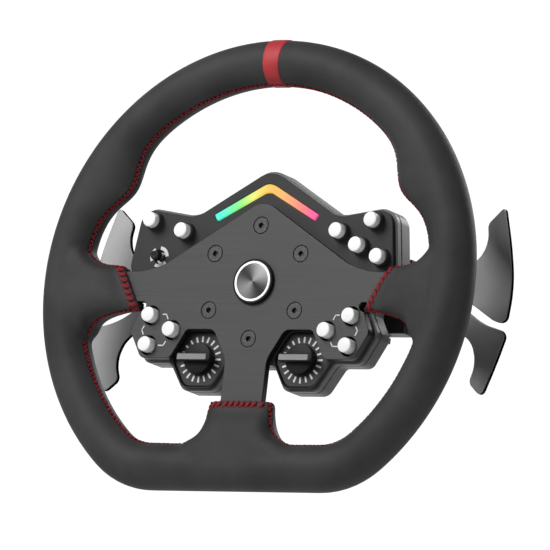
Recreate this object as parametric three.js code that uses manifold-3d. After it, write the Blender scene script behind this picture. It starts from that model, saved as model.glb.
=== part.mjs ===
// Racing wheel: a D-shaped leather rim on a flat spoke plate, with a button box, four paddles and a
// quick-release hub. Millimetres, +Z up. The driver sits at -Y, and the wheel turns about the Y axis.
// A depth is counted from the front of the spoke plate: 0 is that face, and negative lies behind it.

import * as THREE from "three";
import { mergeVertices } from "three/addons/utils/BufferGeometryUtils.js";
import Module from "manifold-3d";

const wasm = await Module();
wasm.setup();

// ---- Driving dimensions ----

const PLATE_FRONT_Y = -70;      // the origin is on the floor of the hub's socket, 70 behind the plate
const FIT_GAP = 0.3;            // clearance between neighbours
const CUT = 1;                  // how far a cutter runs on past what it cuts

const RIM_RADIUS = 136;         // centreline of the rim's round part
const RIM_FLAT = 114;           // centreline of the flat bottom, below the axis
const RIM_CORNER = 45.5;        // centreline radius of the two lower corners
const RIM_DEPTH = -3.5;         // centre plane of the rim
const RIM_SECTION = 14.2;       // radius of the rim's section
const THUMB_SWELL = 11;         // how far the thumb grips stand inwards
const THUMB_ANGLE = 31;         // degrees above the horizontal
const THUMB_SPREAD = 9;         // degrees
const RIM_STEPS = 60;
const SECTION_SIDES = 10;

const LEATHER = 1.3;            // thickness of the cover
const MOUTH_OPENING = 6;        // the cover's inside runs on this far through each sleeve's mouth
const FOAM_SETBACK = 1.5;       // the foam stops short of the mouths
const SLEEVE_DEPTH = -2.8;      // centre plane of the sleeves over the three spokes
const SLEEVE_SIDES = 12;
const SLEEVE_SQUARENESS = 0.62; // 1 is an oval section, and smaller is squarer
const SIDE_SLANT = 0.547;       // the side mouths lean outwards towards the top
const BAND_WIDTH = 11;          // red marker band at the top
const INSERT_HALF_WIDTH = 6;    // the plate's ring inside the foam
const INSERT_CURVE = 9;         // segments in each curve of that ring

const PLATE_BACK = -5;
const ARM_TOP = 6.3;
const ARM_BOTTOM = -12.3;
const LOWER_ARM_HALF = 14.65;

const SCREW_CIRCLE = 35;        // radius of the six hub screws
const SCREW_HEAD = 5.1;         // radii of a screw's head, shank and clearance holes
const SCREW_SHANK = 2.4;
const PLATE_SCREW_HOLE = 2.8;
const FLANGE_SCREW_HOLE = 2.6;
const SCREW_END = -12.5;
const SCREW_SOCKET = 1.6;

const BADGE_RADIUS = 14;
const BADGE_STEM = BADGE_RADIUS - 2.3;
const BADGE_BACK = -4.6;

const PANEL_BACK = -8;
const HOUSING_BACK = -24;
const HOUSING_WALL = 2;
const LEDGE = 1.4;              // the housing stands out past the panel

const DIAL_X = 36;
const DIAL_Z = -46.6;
const DIAL_FACE = -6.5;
const DIAL_BACK = -9.5;
const DIAL_HALF_HEIGHT = 16.8;
const POD_BOTTOM = DIAL_Z - 17.8;
const ENCODER_HALF = 6.5;
const ENCODER_NUT = 3.4;
const GRIP_HALF_LENGTH = 12;
const GRIP_HALF_WIDTH = 2.6;
const GRIP_FRONT = 2.5;
const GRIP_BACK = -3.6;
const SPIGOT_RADIUS = 1.8;

const CAP_RADIUS = 4.6;
const CAP_LIP = 0.7;            // the lip that keeps a cap in its hole
const PLATE_HOLE = 6;
const PANEL_HOLE = CAP_RADIUS + 0.2;
const GUARD_WALL = 0.9;         // the raised guard round each upper cap
const GUARD_FRONT = -0.4;

const LIGHT_FRONT = -4.6;
const LIGHT_BACK = -7.6;
const BOARD_FRONT = -12.6;
const BOARD_BACK = -14.2;
const SWITCH_HALF = 3;
const SWITCH_FRONT = -11.8;

const STICK_X = -73;
const STICK_Z = 16.5;
const STICK_PIVOT = -9;
const STICK_HOLE = 4.4;
const SHAFT_RADIUS = 1.3;
const CROSS_PIN = 0.6;
const SHAFT_PIN = 0.45;

const FLANGE_RADIUS = 39;
const FLANGE_BACK = -13;
const TUBE_RADIUS = 22;
const TUBE_BORE = 14;
const TUBE_CLEARANCE = 0.4;
const COVER_BACK = -56;

const BOX_FRONT = -24.5;
const BOX_HALF_WIDTH = 56;
const BOX_HALF_HEIGHT = 28;
const BOX_CORNER = 5;
const COVER_HALF_WIDTH = 54.4;  // the carriers swing past its edges
const POCKET_INNER = 34;
const POCKET_OUTER = 60;
const POCKET_FRONT = -38.6;
const POCKET_CLEARANCE = 0.6;
const LUG_INNER = 50;
const LUG_REACH = 6;            // past the hinge line
const LUG_FRONT = -40;
const LUGS = [[23.4, 27], [-2.6, 2.6], [-27, -23.4]];

const PIVOT_X = 62;             // the paddles' hinge line
const PIVOT_DEPTH = -47;
const PIN_RADIUS = 1.75;
const PIN_BORE = 1.9;
const PIN_HALF_LENGTH = 26.8;
const CARRIER_INNER = 36;
const CARRIER_OUTER = 84;
const CARRIER_FRONT = -41;
const CARRIER_BACK = -53;
const TAIL_END = 55;            // inside this the carrier's tail is thinned, to swing clear of the cover
const TAIL_BACK = -46;
const MAGNET_X = 40;
const MAGNET_RADIUS = 3;
const MAGNET_FRONT = -35.2;
const MAGNET_BACK = -40.6;
const BLADE_THICKNESS = 3;
const BLADE_BOW = 1.8;          // the blades bow backwards, then forwards at their outer edges
const BOW_START = 92;
const BOW_RUN = 54;
const BOW_SHARE = 1.1;          // of half a sine wave

const SOCKET_FLOOR = -70;
const HUB_BACK = -98;
const HUB_RADIUS = 26;
const SOCKET_RADIUS = 19;
const WIRE_HOLE = 3;
const COLLAR_INNER = HUB_RADIUS + FIT_GAP;
const COLLAR_FRONT = -64;
const COLLAR_BACK = -86;
const TURNED_SIDES = 28;

// ---- Finishes ----

const finish = (color, roughness, metalness = 0) =>
  new THREE.MeshStandardMaterial({ color, roughness, metalness });
const LEATHER_BLACK = () => finish(0x2b2b2c, 0.62);
const FOAM_GREY = () => finish(0x3a3a3a, 0.95);
const MARKER_RED = () => finish(0xb8353b, 0.5);
const BRUSHED_PLATE = () => finish(0x515153, 0.4, 0.85);
const DARK_METAL = () => finish(0x6e6e70, 0.42, 0.9);
const BARE_METAL = () => finish(0xa9abad, 0.35, 1);
const BLACK_STEEL = () => finish(0x1c1c1e, 0.35, 0.8);
const BLACK_PLASTIC = () => finish(0x2f3031, 0.5);
const WHITE_PLASTIC = () => finish(0xf2f2f2, 0.35);
const CHROME = () => finish(0xd8d9db, 0.12, 1);
const BOARD_GREEN = () => finish(0x1f4a33, 0.6);
const LIGHT_WHITE = () => finish(0xf4e9d8, 0.4);

// ---- Joining, cutting and placing ----

const wheel = new THREE.Group();

function add(name, shape, material) {
  const geometry = shape.isBufferGeometry ? shape : fromSolid(shape);
  const mesh = new THREE.Mesh(geometry, material);
  mesh.name = name;
  wheel.add(mesh);
}

function solid(geometry) {
  const bare = new THREE.BufferGeometry();
  bare.setAttribute("position", geometry.getAttribute("position"));
  bare.setIndex(geometry.index);
  const merged = mergeVertices(bare, 1e-4);
  const vertProperties = merged.attributes.position.array;
  const triVerts = new Uint32Array(merged.index.array);
  return new wasm.Manifold(new wasm.Mesh({ numProp: 3, vertProperties, triVerts }));
}

function fromSolid(body) {
  const mesh = body.getMesh();
  const geometry = new THREE.BufferGeometry();
  geometry.setAttribute("position", new THREE.BufferAttribute(mesh.vertProperties, 3));
  geometry.setIndex(new THREE.BufferAttribute(mesh.triVerts, 1));
  return geometry;
}

const atDepth = (depth) => PLATE_FRONT_Y - depth;

// An outline in the wheel's X-Z plane, pushed from one depth to another.
function slab(shape, front, back, curveSegments = 3) {
  const depth = front - back;
  const geometry = new THREE.ExtrudeGeometry(shape, { depth, bevelEnabled: false, curveSegments });
  geometry.rotateX(Math.PI / 2);
  geometry.translate(0, atDepth(back), 0);
  return geometry;
}

function box(x0, x1, z0, z1, front, back) {
  const geometry = new THREE.BoxGeometry(x1 - x0, front - back, z1 - z0);
  geometry.translate((x0 + x1) / 2, atDepth((front + back) / 2), (z0 + z1) / 2);
  return geometry;
}

// A disc or rod along the wheel's axis.
function disc(radius, front, back, x = 0, z = 0, sides = 16) {
  const geometry = new THREE.CylinderGeometry(radius, radius, front - back, sides);
  geometry.translate(x, atDepth((front + back) / 2), z);
  return geometry;
}

// A rod along Z.
function upright(radius, z0, z1, x, depth, sides = 16) {
  const geometry = new THREE.CylinderGeometry(radius, radius, z1 - z0, sides);
  geometry.rotateX(Math.PI / 2);
  geometry.translate(x, atDepth(depth), (z0 + z1) / 2);
  return geometry;
}

// A turned piece along the wheel's axis. Its profile is [radius, depth] from the back to the front.
function turned(profile, x = 0, z = 0, sides = 16) {
  const points = profile.map(([radius, depth]) => new THREE.Vector2(radius, -depth));
  const geometry = new THREE.LatheGeometry(points.reverse(), sides);
  geometry.translate(x, PLATE_FRONT_Y, z);
  return geometry;
}

// A cutter for a round hole, from in front of the plate to past a depth.
const drill = (radius, back, x = 0, z = 0, sides = 16) =>
  solid(disc(radius, CUT, back - CUT, x, z, sides));

// A box whose inner and outer X are given for the right side.
function sideBox(side, inner, outer, z0, z1, front, back) {
  const [x0, x1] = [side * inner, side * outer].sort((a, b) => a - b);
  return solid(box(x0, x1, z0, z1, front, back));
}

// ---- Outlines ----

// Corners are [x, z, cut]: a cut rounds the corner off that far from it, at most to mid-edge.
function outline(corners) {
  const shape = new THREE.Shape();
  const points = corners.map(([x, z]) => new THREE.Vector2(x, z));
  corners.forEach(([, , cut = 0], i) => {
    const corner = points[i];
    const before = points[(i + points.length - 1) % points.length];
    const after = points[(i + 1) % points.length];
    const toward = (end) => {
      const length = corner.distanceTo(end);
      return corner.clone().lerp(end, Math.min(cut, 0.48 * length) / length);
    };
    const enter = toward(before);
    const leave = toward(after);
    if (i === 0) shape.moveTo(enter.x, enter.y);
    else shape.lineTo(enter.x, enter.y);
    if (cut > 0) shape.quadraticCurveTo(corner.x, corner.y, leave.x, leave.y);
  });
  shape.closePath();
  return shape;
}

const flipped = (corners) => corners.map(([x, z, cut]) => [-x, z, cut]).reverse();

// The right half of a symmetric outline, top to bottom, and the mirror image of its points off the middle.
const bothSides = (half) => [...half, ...flipped(half.filter(([x]) => x !== 0))];

// Each edge of a clockwise outline moved inwards by a distance.
function inset(corners, distance) {
  const count = corners.length;
  const edges = corners.map(([x, z], i) => {
    const [x2, z2] = corners[(i + 1) % count];
    const length = Math.hypot(x2 - x, z2 - z);
    const nx = (z2 - z) / length;
    const nz = -(x2 - x) / length;
    return { nx, nz, c: nx * x + nz * z + distance };
  });
  return corners.map(([, , cut], i) => {
    const a = edges[(i + count - 1) % count];
    const b = edges[i];
    const det = a.nx * b.nz - a.nz * b.nx;
    return [(a.c * b.nz - a.nz * b.c) / det, (a.nx * b.c - a.c * b.nx) / det, cut];
  });
}

// The D shape of the rim, offset outwards from its centreline.
function rimPath(offset, PathClass = THREE.Shape) {
  const centre = RIM_RADIUS - RIM_CORNER;
  const cornerZ = RIM_CORNER - RIM_FLAT;
  const cornerX = Math.sqrt(centre * centre - cornerZ * cornerZ);
  const join = Math.atan2(cornerZ, cornerX);
  const path = new PathClass();
  path.absarc(0, 0, RIM_RADIUS + offset, join, Math.PI - join, false);
  path.absarc(-cornerX, cornerZ, RIM_CORNER + offset, Math.PI - join, 1.5 * Math.PI, false);
  path.lineTo(cornerX, -RIM_FLAT - offset);
  path.absarc(cornerX, cornerZ, RIM_CORNER + offset, 1.5 * Math.PI, 2 * Math.PI + join, false);
  return path;
}

const PLATE_OUTLINE = bothSides([
  [0, 50.9, 8],
  [72.6, ARM_TOP, 13],
  [RIM_RADIUS, ARM_TOP],
  [RIM_RADIUS, ARM_BOTTOM],
  [75.5, ARM_BOTTOM, 2.4],
  [75.5, -17, 2],
  [79.2, -18.4, 0.6],
  [84.6, -30.5, 3],
  [75.2, -47.3, 3],
  [54.6, -47.3, 3],
  [44.4, -29.3, 2],
  [25.2, -29.3, 3],
  [LOWER_ARM_HALF, -47.6, 3],
  [LOWER_ARM_HALF, -RIM_FLAT],
]);

const PANEL_OUTLINE = bothSides([
  [0, 70.8, 8],
  [50, 41, 6],
  [82.5, 46, 4.5],
  [88.8, 41, 3.6],
  [93.4, 9, 4],
  [78, -10, 5],
  [78, -18.5, 1],
  [84.6, -30.5, 3],
  [75.2, -47.3, 3],
  [57.4, -47.3, 2],
  [46.6, POD_BOTTOM, 3.5],
  [25.6, POD_BOTTOM, 3.5],
  [16.4, -48.4, 2],
]);

// The light bar runs along the panel's upper edges as a flat V.
const LIGHT_OUTLINE = bothSides([
  [0, 62.6, 4],
  [36.6, 42.6, 0.8],
  [34.4, 38.9, 0.8],
  [0, 57.3, 3],
]);

// ---- The rim: foam round the plate's ring, under a stitched leather cover ----

// A closed body through a row of rings that all have the same number of points.
function skinned(rings, closedLoop) {
  const sides = rings[0].length;
  const positions = rings.flat().flatMap((p) => [p.x, p.y, p.z]);
  const index = [];
  const last = closedLoop ? rings.length : rings.length - 1;
  for (let i = 0; i < last; i++) {
    for (let j = 0; j < sides; j++) {
      const a = i * sides + j;
      const b = i * sides + ((j + 1) % sides);
      const c = ((i + 1) % rings.length) * sides + j;
      const d = ((i + 1) % rings.length) * sides + ((j + 1) % sides);
      index.push(a, c, b, b, c, d);
    }
  }
  if (!closedLoop) {
    const start = (rings.length - 1) * sides;
    for (let j = 1; j < sides - 1; j++) {
      index.push(0, j, j + 1);
      index.push(start, start + j + 1, start + j);
    }
  }
  const geometry = new THREE.BufferGeometry();
  geometry.setAttribute("position", new THREE.Float32BufferAttribute(positions, 3));
  geometry.setIndex(index);
  return geometry;
}

function thumbSwell(x, z) {
  const angle = THREE.MathUtils.radToDeg(Math.atan2(z, Math.abs(x)));
  return THUMB_SWELL * Math.exp(-(((angle - THUMB_ANGLE) / THUMB_SPREAD) ** 2));
}

function rimTube(shrink) {
  const path = rimPath(0, THREE.Path);
  const rings = [];
  for (let i = 0; i < RIM_STEPS; i++) {
    const centre = path.getPointAt(i / RIM_STEPS);
    const along = path.getTangentAt(i / RIM_STEPS);
    const swell = thumbSwell(centre.x, centre.y);
    const ring = [];
    for (let j = 0; j < SECTION_SIDES; j++) {
      const turn = (j / SECTION_SIDES) * 2 * Math.PI;
      const inward = Math.cos(turn) < 0 ? swell : 0;
      const out = Math.cos(turn) * (RIM_SECTION - shrink + inward);
      const y = atDepth(RIM_DEPTH) - Math.sin(turn) * (RIM_SECTION - shrink);
      ring.push(new THREE.Vector3(centre.x + along.y * out, y, centre.y - along.x * out));
    }
    rings.push(ring);
  }
  return solid(skinned(rings, true));
}

// A rounded section of a sleeve, half as high as (high - low) and half as thick as thick.
function sleeveRing(along, low, high, thick, shrink, place) {
  const ring = [];
  for (let j = 0; j < SLEEVE_SIDES; j++) {
    const turn = ((j + 0.5) / SLEEVE_SIDES) * 2 * Math.PI;
    const across = Math.sign(Math.cos(turn)) * Math.abs(Math.cos(turn)) ** SLEEVE_SQUARENESS;
    const deep = Math.sign(Math.sin(turn)) * Math.abs(Math.sin(turn)) ** SLEEVE_SQUARENESS;
    const side = (high + low) / 2 + across * ((high - low) / 2 - shrink);
    ring.push(place(along, side, atDepth(SLEEVE_DEPTH) + deep * (thick - shrink)));
  }
  return ring;
}

// Stations are [distance from the axis, low, high, half thickness], from the sleeve's mouth outwards.
const SIDE_STATIONS = [
  [88.8, -17.8, 9.6, 5.4],
  [95, -18.2, 9.8, 6.8],
  [102, -19.2, 10, 10.2],
  [109, -21.2, 11.8, 12.4],
  [113, -23.4, 13.8, 13],
  [117.5, -28, 18, 13.4],
  [119.3, -34, 20.5, 13.6],
  [129, -42, 30, 13.6],
];

const BOTTOM_STATIONS = [
  [73.6, -21.6, 21.6, 5.4],
  [80, -22.2, 22.2, 7.4],
  [87, -23, 23, 10.8],
  [93, -25.6, 25.6, 12.6],
  [97, -30, 30, 13.2],
  [100.5, -37, 37, 13.5],
  [112, -50, 50, 13.6],
];

// The mouth, which is the first station, can be shifted outwards or inwards.
function sleeveRings(stations, shrink, mouthShift, place) {
  return stations.map(([along, low, high, thick], i) =>
    sleeveRing(i === 0 ? along + mouthShift : along, low, high, thick, shrink, place)
  );
}

function sideSleeve(side, shrink, mouthShift) {
  const start = SIDE_STATIONS[0][0];
  const run = SIDE_STATIONS.at(-1)[0] - start;
  const place = (along, z, y) => {
    const slant = SIDE_SLANT * Math.max(0, 1 - (along - start) / run);
    return new THREE.Vector3(side * (along + slant * z), y, z);
  };
  return outward(sleeveRings(SIDE_STATIONS, shrink, mouthShift, place));
}

function bottomSleeve(shrink, mouthShift) {
  const place = (along, x, y) => new THREE.Vector3(x, y, -along);
  return outward(sleeveRings(BOTTOM_STATIONS, shrink, mouthShift, place));
}

// Rings that run the other way round are reversed, so that the body faces out.
function outward(rings) {
  const body = solid(skinned(rings, false));
  return body.volume() > 0 ? body : solid(skinned(rings.map((ring) => [...ring].reverse()), false));
}

function rimBody(shrink, mouthShift) {
  return rimTube(shrink)
    .add(sideSleeve(1, shrink, mouthShift))
    .add(sideSleeve(-1, shrink, mouthShift))
    .add(bottomSleeve(shrink, mouthShift));
}

function bandCutter(width) {
  const reach = 2 * RIM_SECTION;
  const [bottom, top] = [RIM_RADIUS - reach, RIM_RADIUS + reach];
  return solid(box(-width / 2, width / 2, bottom, top, RIM_DEPTH + reach, RIM_DEPTH - reach));
}

function buildRim() {
  const cover = rimBody(0, 0).subtract(rimBody(LEATHER, -MOUTH_OPENING));
  add("leather_cover", cover.subtract(bandCutter(BAND_WIDTH + 2 * FIT_GAP)), LEATHER_BLACK());
  const band = rimTube(-0.1).subtract(rimTube(LEATHER)).intersect(bandCutter(BAND_WIDTH));
  add("marker_band", band, MARKER_RED());
  const channel = insertRing(FIT_GAP).add(spokeArms(FIT_GAP));
  add("rim_foam", rimBody(LEATHER + FIT_GAP, FOAM_SETBACK).subtract(channel), FOAM_GREY());
}

function insertRing(grow) {
  const ring = rimPath(INSERT_HALF_WIDTH + grow);
  ring.holes.push(rimPath(-INSERT_HALF_WIDTH - grow, THREE.Path));
  return solid(slab(ring, grow, PLATE_BACK - grow, INSERT_CURVE));
}

function spokeArms(grow) {
  const side = box(-RIM_RADIUS, RIM_RADIUS, ARM_BOTTOM - grow, ARM_TOP + grow, grow, PLATE_BACK - grow);
  const half = LOWER_ARM_HALF + grow;
  return solid(side).add(solid(box(-half, half, -RIM_FLAT, 0, grow, PLATE_BACK - grow)));
}

// ---- The spoke plate, its screws and the badge ----

const screwPlaces = [90, 30, -30, -90, -150, 150].map((degrees) => {
  const angle = THREE.MathUtils.degToRad(degrees);
  return [SCREW_CIRCLE * Math.cos(angle), SCREW_CIRCLE * Math.sin(angle)];
});

const BUTTONS = [
  { name: "button_upper_left_outer", x: -78.2, z: 38.3, top: 3.6 },
  { name: "button_upper_left_inner", x: -54.8, z: 31.6, top: 4.2 },
  { name: "button_upper_right_outer", x: 78.2, z: 38.3, top: 3.6 },
  { name: "button_upper_right_inner", x: 54.8, z: 31.6, top: 4.2 },
  { name: "button_upper_right_middle", x: 69.7, z: 22.8, top: 4.2 },
  { name: "button_upper_right_lower", x: 85, z: 15.8, top: 4 },
  { name: "button_lower_left_top", x: -70.8, z: -20.9, top: 4.7, inPlate: true },
  { name: "button_lower_left_inner", x: -54.8, z: -29.9, top: 5, inPlate: true },
  { name: "button_lower_left_bottom", x: -70.8, z: -39.3, top: 5, inPlate: true },
  { name: "button_lower_right_top", x: 70.8, z: -20.9, top: 4.7, inPlate: true },
  { name: "button_lower_right_inner", x: 54.8, z: -29.9, top: 5, inPlate: true },
  { name: "button_lower_right_bottom", x: 70.8, z: -39.3, top: 5, inPlate: true },
];

function buildSpokePlate() {
  let plate = solid(slab(outline(PLATE_OUTLINE), 0, PLATE_BACK)).add(insertRing(0));
  const rim = SCREW_HEAD + FIT_GAP;
  const sink = [[0, -3.1], [PLATE_SCREW_HOLE, -3.1], [rim, -0.4], [rim, CUT], [0, CUT]];
  for (const [x, z] of screwPlaces) {
    plate = plate.subtract(drill(PLATE_SCREW_HOLE, PLATE_BACK, x, z, 12));
    plate = plate.subtract(solid(turned(sink, x, z, 12)));
  }
  for (const { x, z } of BUTTONS.filter((one) => one.inPlate)) {
    plate = plate.subtract(drill(PLATE_HOLE, PLATE_BACK, x, z));
  }
  plate = plate.subtract(drill(BADGE_STEM + FIT_GAP, PLATE_BACK));
  add("spoke_plate", plate, BRUSHED_PLATE());
}

function buildHubScrews() {
  const profile = [
    [0, SCREW_END], [SCREW_SHANK, SCREW_END], [SCREW_SHANK, -2.9],
    [SCREW_HEAD, -0.2], [SCREW_HEAD, -0.05], [0, -0.05],
  ];
  screwPlaces.forEach(([x, z], i) => {
    const socket = solid(disc(SCREW_SOCKET, CUT, -2, x, z, 6));
    add(`hub_screw_${i + 1}`, solid(turned(profile, x, z, 12)).subtract(socket), BLACK_STEEL());
  });
}

function buildBadge() {
  const holder = [
    [0, BADGE_BACK], [BADGE_STEM, BADGE_BACK], [BADGE_STEM, FIT_GAP], [BADGE_RADIUS, FIT_GAP],
    [BADGE_RADIUS, 1.7], [BADGE_RADIUS - 0.8, 2.4], [12.9, 2.4], [12.9, 0.8], [0, 0.8],
  ];
  add("badge_holder", turned(holder, 0, 0, TURNED_SIDES), BLACK_PLASTIC());
  const face = [[0, 1.1], [12.6, 1.1], [12.6, 2.6], [12.2, 3], [11.2, 3], [11, 2.4], [0, 2.2]];
  add("badge_face", turned(face, 0, 0, TURNED_SIDES), CHROME());
}

// ---- The button box ----

function dialHexagon(side, shrink) {
  const half = DIAL_HALF_HEIGHT - shrink;
  const corner = (half * 2) / Math.sqrt(3);
  const points = [];
  for (let i = 0; i < 6; i++) {
    const angle = (-i * Math.PI) / 3;
    points.push([side * DIAL_X + corner * Math.cos(angle), DIAL_Z + corner * Math.sin(angle), 3.5]);
  }
  return outline(points);
}

const largestBody = (shape) => shape.decompose().sort((a, b) => b.volume() - a.volume())[0];

function buildFrontPanel() {
  let panel = solid(slab(outline(PANEL_OUTLINE), PLATE_BACK, PANEL_BACK));
  for (const { x, z } of BUTTONS.filter((one) => !one.inPlate)) {
    panel = panel.add(solid(disc(CAP_RADIUS + GUARD_WALL, GUARD_FRONT, PLATE_BACK - CUT, x, z)));
  }
  for (const { x, z } of BUTTONS) {
    panel = panel.subtract(drill(PANEL_HOLE, PANEL_BACK, x, z));
  }
  panel = panel.subtract(drill(FLANGE_RADIUS + 0.5, PANEL_BACK, 0, 0, 32));
  panel = panel.subtract(drill(STICK_HOLE, PANEL_BACK, STICK_X, STICK_Z));
  const slot = outline(inset(LIGHT_OUTLINE, -FIT_GAP));
  panel = panel.subtract(solid(slab(slot, CUT, PANEL_BACK - CUT)));
  for (const side of [-1, 1]) {
    const pod = dialHexagon(side, -FIT_GAP);
    panel = panel.subtract(solid(slab(pod, CUT, PANEL_BACK - CUT)));
  }
  add("front_panel", largestBody(panel), BLACK_PLASTIC());
}

function buildRearHousing() {
  const outer = inset(PANEL_OUTLINE, -LEDGE);
  const inner = inset(PANEL_OUTLINE, HOUSING_WALL - LEDGE);
  const shell = solid(slab(outline(outer), PANEL_BACK, HOUSING_BACK))
    .subtract(solid(slab(outline(inner), CUT, HOUSING_BACK + HOUSING_WALL)))
    .subtract(drill(TUBE_RADIUS + 1, HOUSING_BACK, 0, 0, 24));
  add("rear_housing", shell, BLACK_PLASTIC());
}

function buildDials() {
  for (const side of [-1, 1]) {
    const word = side < 0 ? "left" : "right";
    const x = side * DIAL_X;
    const face = solid(slab(dialHexagon(side, 0.2), DIAL_FACE, DIAL_BACK))
      .subtract(drill(4, DIAL_BACK, x, DIAL_Z));
    add(`dial_face_${word}`, face, BLACK_PLASTIC());
    const [low, high] = [DIAL_Z - ENCODER_HALF, DIAL_Z + ENCODER_HALF];
    const encoder = solid(box(x - ENCODER_HALF, x + ENCODER_HALF, low, high, -10, -16))
      .add(solid(disc(ENCODER_NUT, -4, -11, x, DIAL_Z)))
      .subtract(drill(SPIGOT_RADIUS + FIT_GAP, -11, x, DIAL_Z));
    add(`encoder_${word}`, encoder, BARE_METAL());
    add(`dial_knob_${word}`, dialKnob(x), BLACK_PLASTIC());
  }
}

// The knob is hollow over the encoder's nut, and its spigot goes down into the encoder.
function dialKnob(x) {
  const [left, right] = [x - GRIP_HALF_LENGTH, x + GRIP_HALF_LENGTH];
  const [low, high] = [DIAL_Z - GRIP_HALF_WIDTH, DIAL_Z + GRIP_HALF_WIDTH];
  const skirt = [[2.3, -5.9], [9.6, -5.9], [9.6, -2.4], [9, -1.8], [3, -1.4], [2.3, -1.4], [2.3, -5.9]];
  return solid(turned(skirt, x, DIAL_Z, 24))
    .add(solid(box(left, right, low, high, GRIP_FRONT, GRIP_BACK)))
    .subtract(solid(disc(ENCODER_NUT + 0.4, GRIP_BACK, -7, x, DIAL_Z)))
    .add(solid(disc(SPIGOT_RADIUS, -3, -11.4, x, DIAL_Z)));
}

function buildButtons() {
  const lip = CAP_RADIUS + CAP_LIP;
  for (const { name, x, z, top } of BUTTONS) {
    const profile = [
      [0, -9.8], [lip, -9.8], [lip, -8.5], [CAP_RADIUS, -8.5],
      [CAP_RADIUS, top - 0.7], [CAP_RADIUS - 0.7, top], [0, top + 0.2],
    ];
    add(name, turned(profile, x, z), WHITE_PLASTIC());
  }
}

function buildLightBar() {
  add("light_bar", slab(outline(LIGHT_OUTLINE), LIGHT_FRONT, LIGHT_BACK), LIGHT_WHITE());
}

function buildBoard() {
  let board = solid(slab(outline(inset(PANEL_OUTLINE, HOUSING_WALL)), BOARD_FRONT, BOARD_BACK))
    .subtract(drill(FLANGE_RADIUS + 1.5, BOARD_BACK, 0, 0, 24))
    .subtract(drill(6.4, BOARD_BACK, STICK_X, STICK_Z));
  const reach = ENCODER_HALF + 0.5;
  for (const side of [-1, 1]) {
    const [left, right] = [side * DIAL_X - reach, side * DIAL_X + reach];
    board = board.subtract(solid(box(left, right, DIAL_Z - reach, DIAL_Z + reach, CUT, -20)));
  }
  for (const { x, z } of BUTTONS) {
    const [left, right] = [x - SWITCH_HALF, x + SWITCH_HALF];
    board = board.add(solid(box(left, right, z - SWITCH_HALF, z + SWITCH_HALF, SWITCH_FRONT, -13)));
  }
  add("circuit_board", largestBody(board), BOARD_GREEN());
}

// The menu stick tilts on a gimbal ring and can be pressed.
function buildMenuStick() {
  const [x, z] = [STICK_X, STICK_Z];
  const crossRod = (radius, half) => {
    const rod = new THREE.CylinderGeometry(radius, radius, 2 * half, 10);
    rod.rotateZ(Math.PI / 2);
    rod.translate(x, atDepth(STICK_PIVOT), z);
    return solid(rod);
  };
  const cup = [[0, -15], [6, -15], [6, -8.2], [4.6, -8.2], [4.6, -12.4], [0, -12.4]];
  const base = solid(turned(cup, x, z)).subtract(crossRod(CROSS_PIN + 0.15, 5.2));
  add("stick_base", base, BLACK_PLASTIC());
  const ring = solid(disc(3.9, STICK_PIVOT + 0.9, STICK_PIVOT - 0.9, x, z))
    .add(crossRod(CROSS_PIN, 5))
    .subtract(drill(2.6, -20, x, z))
    .subtract(solid(upright(SHAFT_PIN + 0.15, z - 3.4, z + 3.4, x, STICK_PIVOT, 10)));
  add("stick_gimbal", ring, BARE_METAL());
  const shaft = solid(disc(SHAFT_RADIUS, -1.6, -11, x, z))
    .add(solid(upright(SHAFT_PIN, z - 3.2, z + 3.2, x, STICK_PIVOT, 10)));
  add("stick_shaft", shaft, BARE_METAL());
  const cap = [
    [1.5, -3], [3.1, -3], [2.5, -1.6], [3, 0], [2.5, 1.1], [0, 1.4], [0, -1], [1.5, -1], [1.5, -3],
  ];
  add("stick_cap", turned(cap, x, z, 14), BLACK_PLASTIC());
}

// ---- The hub, the paddle box and the quick release ----

function buildHubFlange() {
  let flange = solid(disc(FLANGE_RADIUS, PLATE_BACK, FLANGE_BACK, 0, 0, 32))
    .add(solid(disc(TUBE_RADIUS, PLATE_BACK - CUT, COVER_BACK, 0, 0, 24)))
    .subtract(drill(TUBE_BORE, COVER_BACK));
  for (const [x, z] of screwPlaces) {
    flange = flange.subtract(drill(FLANGE_SCREW_HOLE, FLANGE_BACK, x, z, 12));
  }
  add("hub_flange", flange, BARE_METAL());
}

const CARRIERS = [
  { word: "shift", low: 3.2, high: 22.8, middle: 13 },
  { word: "clutch", low: -22.8, high: -3.2, middle: -13 },
];

// A plate with rounded outer corners, bored for the hub's tube.
function boxLayer(halfWidth, front, back) {
  const corners = bothSides([
    [TUBE_RADIUS, BOX_HALF_HEIGHT, 0],
    [halfWidth, BOX_HALF_HEIGHT, BOX_CORNER],
    [halfWidth, -BOX_HALF_HEIGHT, BOX_CORNER],
  ]);
  return solid(slab(outline(corners), front, back));
}

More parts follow.
